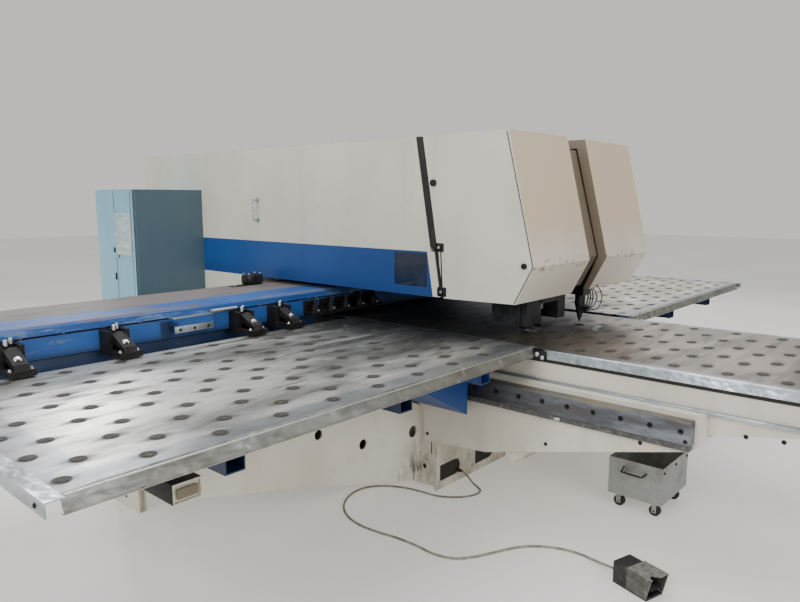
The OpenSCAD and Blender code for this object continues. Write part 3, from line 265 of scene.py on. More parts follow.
def brush_halo(paint, column, first_y):
    """Dark smears round the brush inserts: column is the distance along a row of inserts."""
    row = ((paint.y - first_y) / (ROW_STEP * MM)).whole()
    off_y = paint.y - first_y - row * (ROW_STEP * MM)
    steps = (column - row.odd() * (ODD_ROW_SHIFT * MM)) / (COLUMN_STEP * MM)
    off_x = (steps - steps.whole()) * (COLUMN_STEP * MM)
    reach = ((off_x * 0.55) ** 2.0 + (off_y * 1.25) ** 2.0) ** 0.5
    ragged = paint.noise(7.0, (1, 3, 1), 4.0)
    return (reach + ragged * 0.03).step(0.062, 0.022)


def enamel(name, colour, faded, grime, gloss_rough=0.38, wear=0.5, dirt=0.5, chip=(92, 78, 62)):
    """Machine enamel: mottled, with run marks, scuffs, and chips along its edges."""
    paint = Finish(name)
    cloud = paint.noise(1.3, detail=5.0)
    runs = paint.noise(7.0, (1, 1, 0.12), 4.0).step(0.5, 0.78)
    smudge = paint.noise(4.5, (1, 1, 1.6), 6.0, 0.65, 0.6).step(0.56, 0.8)
    fine = paint.noise(60.0)
    scuff = paint.noise(26.0, (1, 0.25, 3), 5.0, 0.7).step(0.69, 0.76)
    edge = paint.edges(0.006)
    chips = edge * paint.noise(34.0, detail=4.0).step(0.62 - 0.14 * wear, 0.72 - 0.1 * wear)
    tone = paint.mix(cloud.step(0.3, 0.7), screen(*colour), screen(*faded))
    tone = paint.mix((runs * 0.5 + smudge * 0.8) * dirt * 0.5, tone, screen(*grime))
    tone = paint.mix(scuff * (0.45 * wear), tone, screen(*chip))
    tone = paint.mix(edge * (0.3 * dirt), tone, screen(*grime))
    tone = paint.mix(chips * 0.85, tone, screen(*chip))
    rough = gloss_rough + cloud * 0.12 + smudge * 0.18 + fine * 0.06 + chips * 0.2
    paint.tone, paint.rough, paint.chips, paint.cloud, paint.fine = tone, rough, chips, cloud, fine
    return paint


def cream_cover():
    """Cream covers of the arm and head; the head's front faces are painted tan, partly yellowed
    paint and partly painted shade.
    """
    paint = enamel("cream_cover", (214, 211, 198), (202, 198, 184), (150, 136, 112), wear=0.35,
                   dirt=0.4)
    front = paint.facing("Y").step(-0.35, -0.75) * paint.y.step(-0.9, -1.05)
    # Painted tan on faces that look to the front, stronger higher up: yellowed paint, and painted
    # shade of the light there.
    tan = front * (0.75 * paint.z.step(1.34, 1.62) + 0.2)
    tone = paint.mix(tan, paint.tone, screen(206, 184, 158))
    crease = (paint.z - HEAD_FOLD_Z * MM).size().step(0.045, 0.012) * front
    worn = crease * paint.noise(22.0, (1, 1, 2.5), 4.0).step(0.55, 0.64)
    tone = paint.mix(worn * 0.8, tone, screen(126, 110, 90))
    low = paint.z.step(0.9, 0.3) * paint.noise(5.0, (1, 1, 0.6), 5.0).step(0.4, 0.7)
    tone = paint.mix(low * 0.45, tone, screen(128, 112, 90))
    # Painted shade: faces that look sideways within about 0.12 m of the machine's middle are
    # darkened.
    inner = paint.x.size().step(0.13, 0.118) * paint.facing("X").size().step(0.5, 0.8)
    tone = paint.mix(inner, tone, screen(122, 110, 94))
    return paint.surface(tone, paint.rough, height=paint.fine + paint.cloud * 6.0, depth=0.0012)


def cream_frame():
    """Cream weldments near the floor, scuffed and oily."""
    paint = enamel("cream_frame", (218, 214, 200), (200, 194, 178), (120, 104, 80),
                   gloss_rough=0.42, wear=0.85, dirt=0.75)
    low = paint.z.step(0.4, 0.04) * paint.x.size().step(0.95, 0.75)
    oily = low * paint.noise(9.0, (1, 1, 0.7), 6.0, 0.7).step(0.38, 0.62)
    tone = paint.mix(oily * 0.6, paint.tone, screen(112, 98, 78))
    streak = low * paint.noise(12.0, (1, 1, 0.22), 6.0, 0.72).step(0.56, 0.64)
    tone = paint.mix(streak * 0.8, tone, screen(52, 46, 38))
    rust = paint.noise(17.0, detail=6.0, rough=0.7).step(0.63, 0.7) * (low * 0.8 + 0.15)
    tone = paint.mix(rust, tone, screen(122, 72, 38))
    return paint.surface(tone, paint.rough + rust * 0.3, height=paint.fine - paint.chips * 2.0,
                         depth=0.0006)


def stripe_blue():
    paint = enamel("stripe_blue", (24, 76, 140), (22, 68, 130), (22, 40, 78),
                   gloss_rough=0.34, wear=0.3, chip=(150, 150, 145))
    # Painted shade: the stripe darkens towards its bottom edge and towards its front end.
    painted_stripe_shade = (paint.z.step(1.3, 1.17) * 0.4).most(paint.y.step(0.5, -0.7) * 0.5)
    tone = paint.mix(painted_stripe_shade, paint.tone, screen(16, 44, 96))
    return paint.surface(tone, paint.rough, height=paint.fine, depth=0.0003)


def rail_blue():
    """Blue of the cross rail: its top is bare and rusty where things were laid down."""
    paint = enamel("rail_blue", (26, 78, 148), (40, 92, 160), (20, 34, 60),
                   gloss_rough=0.42, wear=1.0, dirt=0.7, chip=(128, 120, 112))
    top = paint.facing("Z").step(0.3, 0.8)
    worn = paint.noise(3.2, (0.35, 1.6, 1), 7.0, 0.68, 0.4)
    band = (paint.y + worn * 0.16).step(0.62, 0.54)
    bare = top * (worn.step(0.5, 0.6) * 0.55).most(1.0 - band)
    tone = paint.mix(bare * 0.95, paint.tone, screen(120, 113, 107))
    rust = top * paint.noise(5.5, (0.5, 1.2, 1), 7.0, 0.7).step(0.5, 0.64)
    tone = paint.mix(rust * 0.6, tone, screen(98, 84, 74))
    lip = paint.z.step(1.078, 1.09) * (1.0 - top)
    rub = lip * paint.noise(9.0, (0.4, 1, 2.5), 6.0, 0.7).step(0.47, 0.6)
    tone = paint.mix(rub * 0.65, tone, screen(120, 150, 186))
    web = paint.z.step(1.07, 1.03) * paint.noise(8.0, (0.5, 1, 2.4), 6.0, 0.75).step(0.6, 0.7)
    tone = paint.mix(web * 0.6, tone, screen(148, 142, 118))
    # Painted shadow of the post on the web, left of the sensor strip.
    painted_post_shadow = (paint.x + 1.825).size().step(0.05, 0.025) * paint.z.step(1.075, 1.06)
    # The web darkens towards its bottom, and the post's painted shadow is added in here too.
    oil = (paint.z.step(1.02, 0.96) * 0.75).most(painted_post_shadow * 0.8)
    tone = paint.mix(oil, tone, screen(14, 22, 36))
    return paint.surface(tone, paint.rough + top * 0.22 + bare * 0.1, metal=bare * 0.2,
                         height=paint.fine + worn * 1.5, depth=0.0006)


def frame_blue():
    paint = enamel("frame_blue", (20, 54, 108), (25, 62, 120), (16, 24, 44),
                   gloss_rough=0.4, wear=0.8, dirt=0.9, chip=(132, 126, 118))
    # Painted shade: frames more than 1 m out from the middle, under the side tables, are darker.
    shade = paint.x.size().step(1.0, 1.5) * 0.7
    tone = paint.mix(shade, paint.tone, screen(12, 20, 36))
    return paint.surface(tone, paint.rough, height=paint.fine, depth=0.0004)


def window_glass():
    paint = Finish("window_glass")
    dust = paint.noise(9.0, (1, 1, 0.5), 5.0).step(0.4, 0.8)
    tone = paint.mix(dust * 0.5, screen(20, 32, 50), screen(38, 50, 66))
    return paint.surface(tone, 0.2 + dust * 0.25, coat=0.4)


def black_rubber():
    paint = Finish("black_rubber")
    dust = paint.noise(14.0, (1, 1, 0.4), 6.0, 0.7)
    fine = paint.noise(240.0, detail=2.0)
    tone = paint.mix(dust.step(0.42, 0.75), screen(26, 23, 20), screen(50, 44, 38))
    return paint.surface(tone, 0.62 + dust * 0.25, height=fine, depth=0.0002)


def black_oxide():
    """Blackened steel with oily dust and rubbed edges."""
    paint = Finish("black_steel")
    dust = paint.noise(24.0, detail=6.0, rough=0.7)
    edge = paint.edges(0.003)
    tone = paint.mix(dust.step(0.45, 0.7), screen(24, 23, 23), screen(50, 45, 40))
    tone = paint.mix(edge * 0.35, tone, screen(104, 102, 98))
    return paint.surface(tone, 0.38 + dust * 0.3, metal=0.5, height=dust, depth=0.0004)


def taupe_panel():
    paint = enamel("taupe_panel", (124, 112, 94), (112, 100, 84), (86, 74, 60),
                   gloss_rough=0.5, wear=0.3, dirt=0.8)
    return paint.surface(paint.tone, paint.rough, height=paint.fine, depth=0.0004)


def ground_steel():
    """Ground rail steel, drawn along Y, with brown grease and painted shadow over its rear part.
    """
    paint = Finish("ground_steel")
    drawn = paint.noise(90.0, (3, 0.05, 3))
    stain = paint.noise(6.0, (1, 0.45, 2.2), 6.0, 0.7)
    grease = stain.step(0.5, 0.66)
    top = paint.z.step(0.742, 0.754)
    tone = paint.mix(stain.step(0.3, 0.6), screen(138, 143, 150), screen(92, 96, 104))
    tone = paint.mix(grease * 0.8, tone, screen(74, 68, 60))
    tone = paint.mix(top * paint.noise(20.0, (1, 0.2, 1), 4.0).step(0.4, 0.6) * 0.7, tone,
                     screen(150, 136, 112))
    # Painted shadow over the rail's rear part, behind the blue bracket.
    painted_rear_shadow = paint.y.step(-1.4, -1.0) * 0.85
    tone = paint.mix(painted_rear_shadow, tone, screen(26, 28, 31))
    return paint.surface(tone, 0.3 + drawn * 0.12 + grease * 0.3, metal=0.9 - grease * 0.7,
                         height=drawn + stain * 2.0, depth=0.0003)


def machined_steel():
    paint = Finish("machined_steel")
    turned = paint.noise(150.0, (1, 1, 6), 2.0)
    stain = paint.noise(30.0, detail=5.0).step(0.45, 0.7)
    tone = paint.mix(stain, screen(172, 172, 170), screen(112, 104, 92))
    return paint.surface(tone, 0.24 + stain * 0.25 + turned * 0.08, metal=0.95, height=turned,
                         depth=0.0002)


def grey_casting():
    paint = Finish("grey_steel")
    grain = paint.noise(90.0, detail=5.0)
    oil = paint.noise(12.0, (1, 1, 0.6), 6.0, 0.7).step(0.4, 0.65)
    tone = paint.mix(oil, screen(58, 59, 60), screen(26, 25, 24))
    edge = paint.edges(0.003)
    tone = paint.mix(edge * 0.4, tone, screen(120, 119, 116))
    return paint.surface(tone, 0.4 + grain * 0.2 - oil * 0.1, metal=0.6, height=grain,
                         depth=0.0006)


def trim_steel():
    """Bright folded trims, wavy from knocks."""
    paint = Finish("trim_steel")
    waves = paint.noise(7.0)
    drawn = paint.noise(60.0, (0.6, 0.12, 2))
    haze = paint.noise(5.0, (1, 0.5, 2), 6.0, 0.7)
    tone = paint.mix(haze.step(0.35, 0.65), screen(188, 196, 202), screen(146, 152, 156))
    grime = paint.noise(13.0, (1, 0.4, 2), 6.0, 0.7).step(0.6, 0.72)
    tone = paint.mix(grime * 0.6, tone, screen(96, 86, 74))
    return paint.surface(tone, 0.27 + haze.step(0.4, 0.7) * 0.2 + drawn * 0.08 + grime * 0.2,
                         metal=0.92, height=waves * 8.0 + drawn * 0.3, depth=0.0015)


def apron_zinc():
    """Galvanised aprons: dull and bright patches, dents, rust along the lower lip."""
    paint = Finish("apron_zinc")
    dents = paint.noise(9.0, (0.7, 1, 1.6), 2.0, 0.5, 0.4)
    patch = paint.noise(3.5, (0.8, 1, 2.5), 6.0, 0.7, 0.3)
    inner = paint.x.size().step(2.2, 0.9)
    bright = paint.noise(11.0, (2.0, 1, 0.6), rough=0.5, twist=0.7).step(0.55, 0.78) * inner * 0.6
    lip = paint.z.step(0.908, 0.896)
    rust = paint.noise(11.0, (0.8, 1, 2), 7.0, 0.75).step(0.56, 0.64) * lip
    tone = paint.mix(patch.step(0.35, 0.65), screen(158, 158, 152), screen(116, 115, 108))
    tone = paint.mix(inner * 0.5, tone, screen(140, 136, 116))
    tone = paint.mix(bright, tone, screen(232, 231, 222))
    tone = paint.mix(lip * 0.3, tone, screen(108, 98, 82))
    tone = paint.mix(rust, tone, screen(104, 62, 34))
    return paint.surface(tone, 0.4 - bright * 0.14 + patch * 0.12 + rust * 0.3,
                         metal=0.85 - rust * 0.7, height=dents * 10.0 + patch, depth=0.0022)


def table_steel(name, clean, dull, smear, centre):
    """Sheet of a brush table: polished by sliding sheets, with oil smears, dark halos and painted
    shade under the head.
    """
    paint = Finish(name)
    first_x, first_y = CENTRE_INSERTS if centre else SIDE_INSERTS
    column = paint.x - first_x * MM if centre else first_x * MM - paint.x.size()
    halo = brush_halo(paint, column, first_y * MM + REAR_EDGE_Y)
    cloud = paint.noise(1.6, (0.8, 1.5, 1), 7.0, 0.62, 0.5)
    drags = paint.noise(5.0, (0.35, 2.6, 1), 6.0, 0.66, 0.5)
    fine = paint.noise(130.0, (0.12, 1.6, 1))
    if centre:
        work = 0.75
        rim = (paint.x.size() - 0.54).step(0.0, 0.02)
        oil = drags.step(0.5, 0.66) * 0.6
    else:
        from_head = paint.x.size().step(2.3, 0.75)
        work = from_head * (0.35 + 0.65 * paint.y.step(-1.1, 0.0))
        left = (paint.x.size() - 2.87).step(-0.03, 0.0)
        front = (paint.y + 1.12).step(0.03, 0.0)
        rim = left.most(front)
        oil = (drags + work * 0.2).step(0.54, 0.7)
    tone = paint.mix(cloud.step(0.38, 0.66), screen(*clean), screen(*dull))
    blot = paint.noise(2.3, (0.45, 1.7, 1), 6.0, 0.6, 0.8).step(0.47, 0.58) * (work * 0.8 + 0.2)
    tone = paint.mix(blot * 0.75, tone, screen(*smear))
    tone = paint.mix(oil * 0.8, tone, screen(*smear))
    tone = paint.mix(halo * 0.85, tone, screen(*smear))
    far = paint.x.step(0.35, 1.0) * paint.noise(4.0, (1, 1.4, 1), 5.0).step(0.25, 0.55)
    tone = paint.mix(far * 0.75, tone, screen(146, 130, 112))
    # Painted shade: near the head's underside the sheet is painted near black and made less
    # metallic.
    under = paint.x.size().step(1.3, 0.7) * (paint.y + cloud * 0.3).step(-1.0, -0.62)
    tone = paint.mix(under * 0.9, tone, screen(20, 23, 27))
    tone = paint.mix(rim * 0.55, tone, screen(112, 119, 128))
    scratch = fine.step(0.6, 0.75)
    rough = 0.3 + cloud * 0.18 + oil * 0.12 + fine * 0.1 + halo * 0.12 - rim * 0.04
    metal = 0.88 - oil * 0.3 - halo * 0.3 - work * 0.12 - under * 0.3 - far * 0.35
    return paint.surface(tone, rough, metal=metal,
                         height=cloud * 3.0 + fine * 0.25 + scratch * 0.1, depth=0.0012)


def bristle():
    paint = Finish("bristle")
    tufts = paint.cells(330.0)
    dust = paint.noise(40.0, detail=4.0)
    tone = paint.mix(tufts.step(0.2, 0.6), screen(26, 25, 24), screen(66, 60, 52))
    tone = paint.mix(dust.step(0.5, 0.75) * 0.5, tone, screen(104, 96, 84))
    return paint.surface(tone, 0.75, height=tufts, depth=0.0015)


def cabinet_blue():
    paint = enamel("cabinet_blue", (142, 188, 208), (130, 176, 198), (84, 104, 112),
                   gloss_rough=0.4, wear=0.35, dirt=0.35, chip=(120, 120, 116))
    # Painted shade: faces that look to the front are darker.
    shade = paint.facing("Y").step(-0.4, -0.8)
    tone = paint.mix(shade * 0.85, paint.tone, screen(42, 53, 59))
    return paint.surface(tone, paint.rough, height=paint.fine + paint.cloud * 5.0)


def bin_zinc():
    paint = Finish("bin_zinc")
    flakes = paint.cells(150.0)
    dents = paint.noise(8.0, detail=2.0)
    dirt = paint.noise(7.0, (1, 1, 0.7), 6.0, 0.7)
    tone = paint.mix(flakes.step(0.2, 0.7), screen(162, 165, 163), screen(146, 149, 147))
    tone = paint.mix(dirt.step(0.45, 0.7) * 0.6, tone, screen(106, 98, 84))
    return paint.surface(tone, 0.42 + dirt * 0.2, metal=0.7, height=dents * 6.0 + flakes * 0.4,
                         depth=0.0015)


def moulded_black():
    paint = Finish("moulded_black")
    grain = paint.noise(420.0, detail=2.0)
    dust = paint.noise(18.0, detail=6.0, rough=0.7)
    tone = paint.mix(dust.step(0.45, 0.75), screen(24, 24, 25), screen(70, 66, 60))
    return paint.surface(tone, 0.5 + dust * 0.2, height=grain, depth=0.0002)


def hood_paint():
    """Grey enamel of the foot switch's hood, rubbed through to bare metal at the edges."""
    paint = Finish("hood_paint")
    edge = paint.edges(0.006)
    rub = paint.noise(36.0, detail=6.0, rough=0.72)
    tone = paint.mix(rub.step(0.4, 0.7), screen(64, 64, 63), screen(98, 95, 90))
    bare = (edge * 0.6 + rub.step(0.56, 0.68) * 0.7).least(1.0)
    bare = bare.most(paint.facing("Z").step(0.3, 0.8) * rub.step(0.3, 0.55))
    tone = paint.mix(bare * 0.8, tone, screen(150, 148, 141))
    return paint.surface(tone, 0.42 + rub * 0.2, metal=bare * 0.5, height=rub, depth=0.0008)


def cord_sheath():
    paint = Finish("cord_sheath")
    dirt = paint.noise(16.0, detail=6.0, rough=0.7)
    tone = paint.mix(dirt.step(0.35, 0.65), screen(148, 146, 136), screen(112, 105, 92))
    return paint.surface(tone, 0.5 + dirt * 0.2, height=dirt, depth=0.0004)


def chrome():
    paint = Finish("chrome")
    haze = paint.noise(120.0, detail=4.0)
    tone = paint.mix(haze.step(0.55, 0.75), screen(214, 216, 218), screen(150, 144, 134))
    return paint.surface(tone, 0.12 + haze * 0.2, metal=1.0)


def plastic_film():
    """Clear pocket of the cabinet door with a blank yellowed sheet behind it."""
    paint = Finish("plastic_film")
    creases = paint.noise(12.0, (1, 1, 2.5), rough=0.5, twist=1.5)
    tone = paint.mix(creases.step(0.35, 0.7), screen(186, 206, 206), screen(146, 176, 182))
    return paint.surface(tone, 0.16 + creases * 0.2, height=creases * 4.0, depth=0.0016, coat=0.6)


FINISHES = {
    "cover": cream_cover(), "frame": cream_frame(), "stripe": stripe_blue(),
    "rail": rail_blue(), "tube": frame_blue(), "glass": window_glass(),
    "rubber": black_rubber(), "oxide": black_oxide(), "taupe": taupe_panel(),
    "ground": ground_steel(), "machined": machined_steel(), "casting": grey_casting(),
    "trim": trim_steel(), "apron": apron_zinc(),
    "table": table_steel("table_steel", (212, 212, 208), (124, 123, 119), (50, 48, 44), False),
    "centre": table_steel("centre_steel", (130, 119, 105), (96, 87, 76), (60, 52, 44), True),
    "bristle": bristle(), "cabinet": cabinet_blue(), "bin": bin_zinc(),
    "moulded": moulded_black(), "hood": hood_paint(), "sheath": cord_sheath(),
    "chrome": chrome(), "film": plastic_film(),
}
NODE_FINISH = {
    "cover": "flank_cover_left flank_cover_right arm_roof rear_cover column_cover c_frame "
             "head_door_left head_door_right",
    "frame": "base_frame front_arm outriggers guide_tubes",
    "stripe": "stripe_panel_left stripe_panel_right",
    "rail": "cross_rail carriage_bar",
    "tube": "table_frames gusset_brackets",
    "glass": "stripe_windows",
    "rubber": "seam_strips laser_cables bin_wheels_front bin_wheels_rear cord_gland",
    "oxide": "hinge_pins levelling_feet clamp_bodies clamp_jaws tool_holders",
    "taupe": "recess_panel",
    "ground": "y_rails x_guides",
    "machined": "ram punch_tool die outer_roller_left outer_roller_right",
    "casting": "ram_housing stripper die_holder laser_mount laser_head",
    "trim": "centre_trims side_trims flank_handles",
    "apron": "front_aprons",
    "table": "table_left table_right",
    "centre": "centre_table",
    "bristle": "table_brushes centre_brushes",
    "cabinet": "cabinet_body cabinet_door_front cabinet_door_rear",
    "bin": "scrap_bin bin_forks",
    "moulded": "switch_base switch_pedal",
    "hood": "switch_hood",
    "sheath": "switch_cord",
}
for finish, names in NODE_FINISH.items():
    for name in names.split():
        nodes[name].data.materials.clear()
        nodes[name].data.materials.append(FINISHES[finish])


# Making pieces

LEFT = (-1, 0, 0)
FRONT = (0, -1, 0)
UP = (0, 0, 1)
BEVEL_ANGLE = radians(40)
SMOOTH_ANGLE = radians(38)
# Least share of a direction in the normal of a face that looks along it
LOOKS_ALONG = 0.95
HOSE_STEPS = 6


def deselect():
    for thing in bpy.context.selected_objects:
        thing.select_set(False)


def take(thing):
    deselect()
    thing.select_set(True)
    bpy.context.view_layer.objects.active = thing


def settle(name):
    """Names the new primitive and puts its place and size into its mesh."""
    thing = bpy.context.active_object
    thing.name = name
    bpy.ops.object.transform_apply(location=True, rotation=True, scale=True)
    return thing


def slab(name, low, high):
    deselect()
    bpy.ops.mesh.primitive_cube_add(size=1, location=(low + high) / 2)
    bpy.context.active_object.scale = high - low
    return settle(name)


def rod(name, start, end, radius, sides=24, tip=None):
    """A cylinder from start to end, or a cone where tip gives the end's radius."""
    deselect()
    way = end - start
    turn = way.to_track_quat("Z", "Y").to_euler()
    place = (start + end) / 2
    if tip is None:
        bpy.ops.mesh.primitive_cylinder_add(vertices=sides, radius=radius, depth=way.length,
                                            location=place, rotation=turn)
    else:
        bpy.ops.mesh.primitive_cone_add(vertices=sides, radius1=radius, radius2=tip,
                                        depth=way.length, location=place, rotation=turn)
    return settle(name)


def post(name, low, high, radius, sides):
    """A rod that stands on or through the origin."""
    return rod(name, Vector((0, 0, low)), Vector((0, 0, high)), radius, sides)


def inset_and_push(thing, direction, thickness, depth):
    """Insets the faces that look along direction and pushes them in, or out at negative depth."""
    way = Vector(direction).normalized()
    take(thing)
    bpy.ops.object.mode_set(mode="EDIT")
    bpy.ops.mesh.select_mode(type="FACE")
    mesh = bmesh.from_edit_mesh(thing.data)
    mesh.normal_update()
    for group in (mesh.verts, mesh.edges, mesh.faces):
        for item in group:
            item.select = False
    for face in mesh.faces:
        if face.normal.dot(way) > LOOKS_ALONG:
            face.select_set(True)
    bmesh.update_edit_mesh(thing.data)
    bpy.ops.mesh.inset(thickness=thickness)
    bpy.ops.mesh.extrude_region_move(TRANSFORM_OT_translate={"value": way * -depth})
    bpy.ops.object.mode_set(mode="OBJECT")


def round_off(thing, width, segments=2):
    take(thing)
    bevel = thing.modifiers.new("edges", "BEVEL")
    bevel.width = width
    bevel.segments = segments
    bevel.limit_method = "ANGLE"
    bevel.angle_limit = BEVEL_ANGLE
    bpy.ops.object.modifier_apply(modifier=bevel.name)
    return thing


def joined(name, things):
    take(things[0])
    for thing in things:
        thing.select_set(True)
    if len(things) > 1:
        bpy.ops.object.join()
    things[0].name = name
    return things[0]


def stamped(name, pattern, places):
    """Copies of the pattern, each with its own mesh, at places given as matrices."""
    copies = []
    for place in places:
        mesh = pattern.data.copy()
        mesh.transform(place)
        copy = bpy.data.objects.new(name, mesh)
        bpy.context.scene.collection.objects.link(copy)
        copies.append(copy)
    bpy.data.objects.remove(pattern)
    return joined(name, copies)


def facing_place(place, direction):
    """Matrix that stands a piece made along +Z at place, pointing along direction."""
    turn = Vector(direction).to_track_quat("Z", "Y").to_matrix().to_4x4()
    return Matrix.Translation(place) @ turn


def dress(thing, finish, body):
    """Gives a piece its finish and makes it ride a body."""
    take(thing)
    if thing.type == "MESH":
        bpy.ops.object.shade_smooth_by_angle(angle=SMOOTH_ANGLE)
    thing.data.materials.clear()
    thing.data.materials.append(FINISHES[finish])
    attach(thing, body)


def mirrored(thing):
    """The same mesh reflected to the machine's other side, with its faces turned outwards."""
    mesh = thing.data.copy()
    mesh.transform(Matrix.Scale(-1, 4, Vector((1, 0, 0))))
    mesh.flip_normals()
    other = bpy.data.objects.new(thing.name, mesh)
    bpy.context.scene.collection.objects.link(other)
    return other


def socket_screw(radius, height):
    """Cap screw with the recess in its head, standing on the origin."""
    screw = post("screw", 0, height, radius, 16)
    inset_and_push(screw, UP, radius * 0.42, height * 0.6)
    return round_off(screw, radius * 0.09, 1)


def hex_bolt(radius, height):
    """Hexagon head on its washer, standing on the origin."""
    bolt = post("bolt", 0, height, radius, 6)
    washer = post("washer", 0, height * 0.22, radius * 1.35, 20)
    round_off(bolt, radius * 0.12, 2)
    round_off(washer, height * 0.06, 1)
    return joined("bolt", [bolt, washer])


def hose(name, points, diameter):
    """A formed hose or wire that both ends hold, as a mesh."""
    tube = tube_curve(name, smooth_line(points, HOSE_STEPS), diameter * MM, 2)
    take(tube)
    bpy.ops.object.convert(target="MESH")
    return bpy.context.active_object


# Cord and its strain reliefs

def boot(name, start, end, wide, narrow):
    """Tapered strain relief with ribs that get smaller towards the cord."""
    rings = 7
    way = end - start
    body = rod(name, start, end, wide * MM, 24, narrow * MM)
    parts = [body]
    for k in range(rings):
        share = (k + 0.5) / rings
        radius = (wide + (narrow - wide) * share) * MM
        middle = start + way * share
        half = way * (0.22 / rings)
        rib = rod("rib", middle - half, middle + half, radius + 0.0012, 24)
        parts.append(round_off(rib, 0.0008, 1))
    nut = rod("nut", start, start + way * 0.2, wide * 1.18 * MM, 8)
    parts.append(round_off(nut, 0.001, 2))
    return joined(name, parts)


cord_boots = joined("cord_boots", [
    boot("wall_boot", at(-457, -746.2, 70), at(-457, -786, 69), 12, 7.2),
    boot("switch_boot", at(-840.3, -1957, 28), at(-831.5, -1928, 28), 12, 7.4)])
dress(cord_boots, "rubber", "machine")
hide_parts("cord_gland")
dress(foot_switch_cord, "sheath", "machine")
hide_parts("switch_cord")
at(*CORD_ROUTE[0])
run_of(cord_line)


# Small pieces on the covers, rails and tables

def side_pair(name, things, finish, bodies):
    """One piece on the left that rides the first body, and its reflection on the right."""
    left = joined(name + "_left", things)
    right = mirrored(left)
    right.name = name + "_right"
    dress(left, finish, bodies[0])
    dress(right, finish, bodies[1])


def screws(name, pattern, places, direction):
    """Copies of the pattern at places in millimetres, each pointing along direction."""
    return stamped(name, pattern, [facing_place(at(*p), direction) for p in places])


def plate(name, low, high, edge=0.0015):
    """A slab between two corners in millimetres, with its edges rounded off."""
    return round_off(slab(name, at(*low), at(*high)), edge, 2)


HEAD_DOORS = ("head_door_left", "head_door_right")
MACHINE = ("machine", "machine")
GANTRY = ("gantry", "gantry")

rail_screws = screws("rail_screws", socket_screw(0.0095, 0.012),
                     [(-722, -2145 + k * 135, 710) for k in range(23)], LEFT)
side_pair("rail_screws", [rail_screws], "oxide", MACHINE)
end_screw = screws("rail_end_screw", hex_bolt(0.007, 0.006), [(-738, -2166, 668)], LEFT)
side_pair("rail_end_screw", [end_screw], "oxide", MACHINE)
# Dark strip below the rail, standing for the shade under its lower edge.
rail_shade = plate("under_rail_strip", (-716, -2178, 617), (-680, -700, 649.5))
ledge = plate("ledge_strip", (-622, -2580, 768), (-597, -900, 786), 0.003)
# Black strip for the shadow under the bright trim.
trim_shadow = slab("trim_shadow", at(-604, -2582, 874), at(-597, -1300, 893))
side_pair("under_rail_strip", [rail_shade], "hood", MACHINE)
side_pair("ledge_strip", [ledge], "trim", MACHINE)
side_pair("trim_shadow", [trim_shadow], "rubber", MACHINE)
rail_clip = plate("rail_clip", (-722, -1560, 622), (-715, -1528, 640))
side_pair("rail_clip", [rail_clip], "chrome", MACHINE)
skirt = plate("rail_skirt", (-2960, 205, 752), (-752, 219, 962))
side_pair("rail_skirt", [skirt], "rail", GANTRY)

arm_screws = screws("arm_screws", hex_bolt(0.0075, 0.006),
                    [(-680, -693, 345), (-680, -1466, 471), (-680, -1949, 595),
                     (-598, -2369, 702), (-598, -2513, 713)], LEFT)
side_pair("arm_screws", [arm_screws], "oxide", MACHINE)

trim_screws = screws("trim_screws", hex_bolt(0.0065, 0.005),
                     [(-3034.5, y, 925) for y in (-1305, -880, -455, -40)], LEFT)
side_pair("trim_screws", [trim_screws], "oxide", GANTRY)
apron_edge = rod("apron_edge", at(-2981, -1350.5, 949.5), at(-618, -1350.5, 949.5), 0.0028, 10)
apron_hem = rod("apron_hem", at(-2981, -1349.5, 896), at(-618, -1349.5, 896), 0.0032, 10)
side_pair("apron_edges", [apron_edge, apron_hem], "chrome", GANTRY)

# Beam across the arm's underside
beam = [plate("beam_flange", (-654, -1274, 300), (654, -1212, 309)),
        plate("beam_web", (-642, -1268, 308), (642, -1262, 380)),
        plate("beam_end", (-655, -1274, 300), (-649, -1213, 378)),
        plate("beam_end", (649, -1274, 300), (655, -1213, 378))]
dress(joined("arm_beam", beam), "frame", "machine")

# Leg of each guide tube, with a pocket in its front face
leg = slab("guide_leg", at(-1970, 284, 0.5), at(-1922, 584, 560))
inset_and_push(leg, FRONT, 0.006, 0.04)
leg_arm = slab("leg_arm", at(-2213, 350, 508), at(-1968, 430, 560))
side_pair("guide_leg", [round_off(leg, 0.0015), leg_arm], "frame", MACHINE)
# Black disc for the hole in the leg: painted shade inside the hole.
leg_hole = rod("leg_hole", at(-1971, 428, 62), at(-1969, 428, 62), 0.011)
side_pair("leg_hole", [leg_hole], "rubber", MACHINE)

# Ends of the guide tubes: a rounded plate set in the front, the outer side dark, and a dark plate
# on top as painted shadow
tube_plate = round_off(slab("tube_plate", at(-2326, -756, 522), at(-2231, -748, 566)), 0.003)
side_pair("tube_plate", [tube_plate], "taupe", MACHINE)
tube_dark = [plate("tube_side", (-2345, -748, 503), (-2342, -300, 588)),
             plate("tube_top", (-2343, -746, 586.5), (-2213, -500, 588.5))]
side_pair("tube_dark", tube_dark, "oxide", MACHINE)

# Front plate of the base with its slots: left ends, length to the round end, radius, height
SLOTS_X = (-633, -274, 85)
SLOT_L = 150
SLOT_R = 49
SLOT_Z = 99

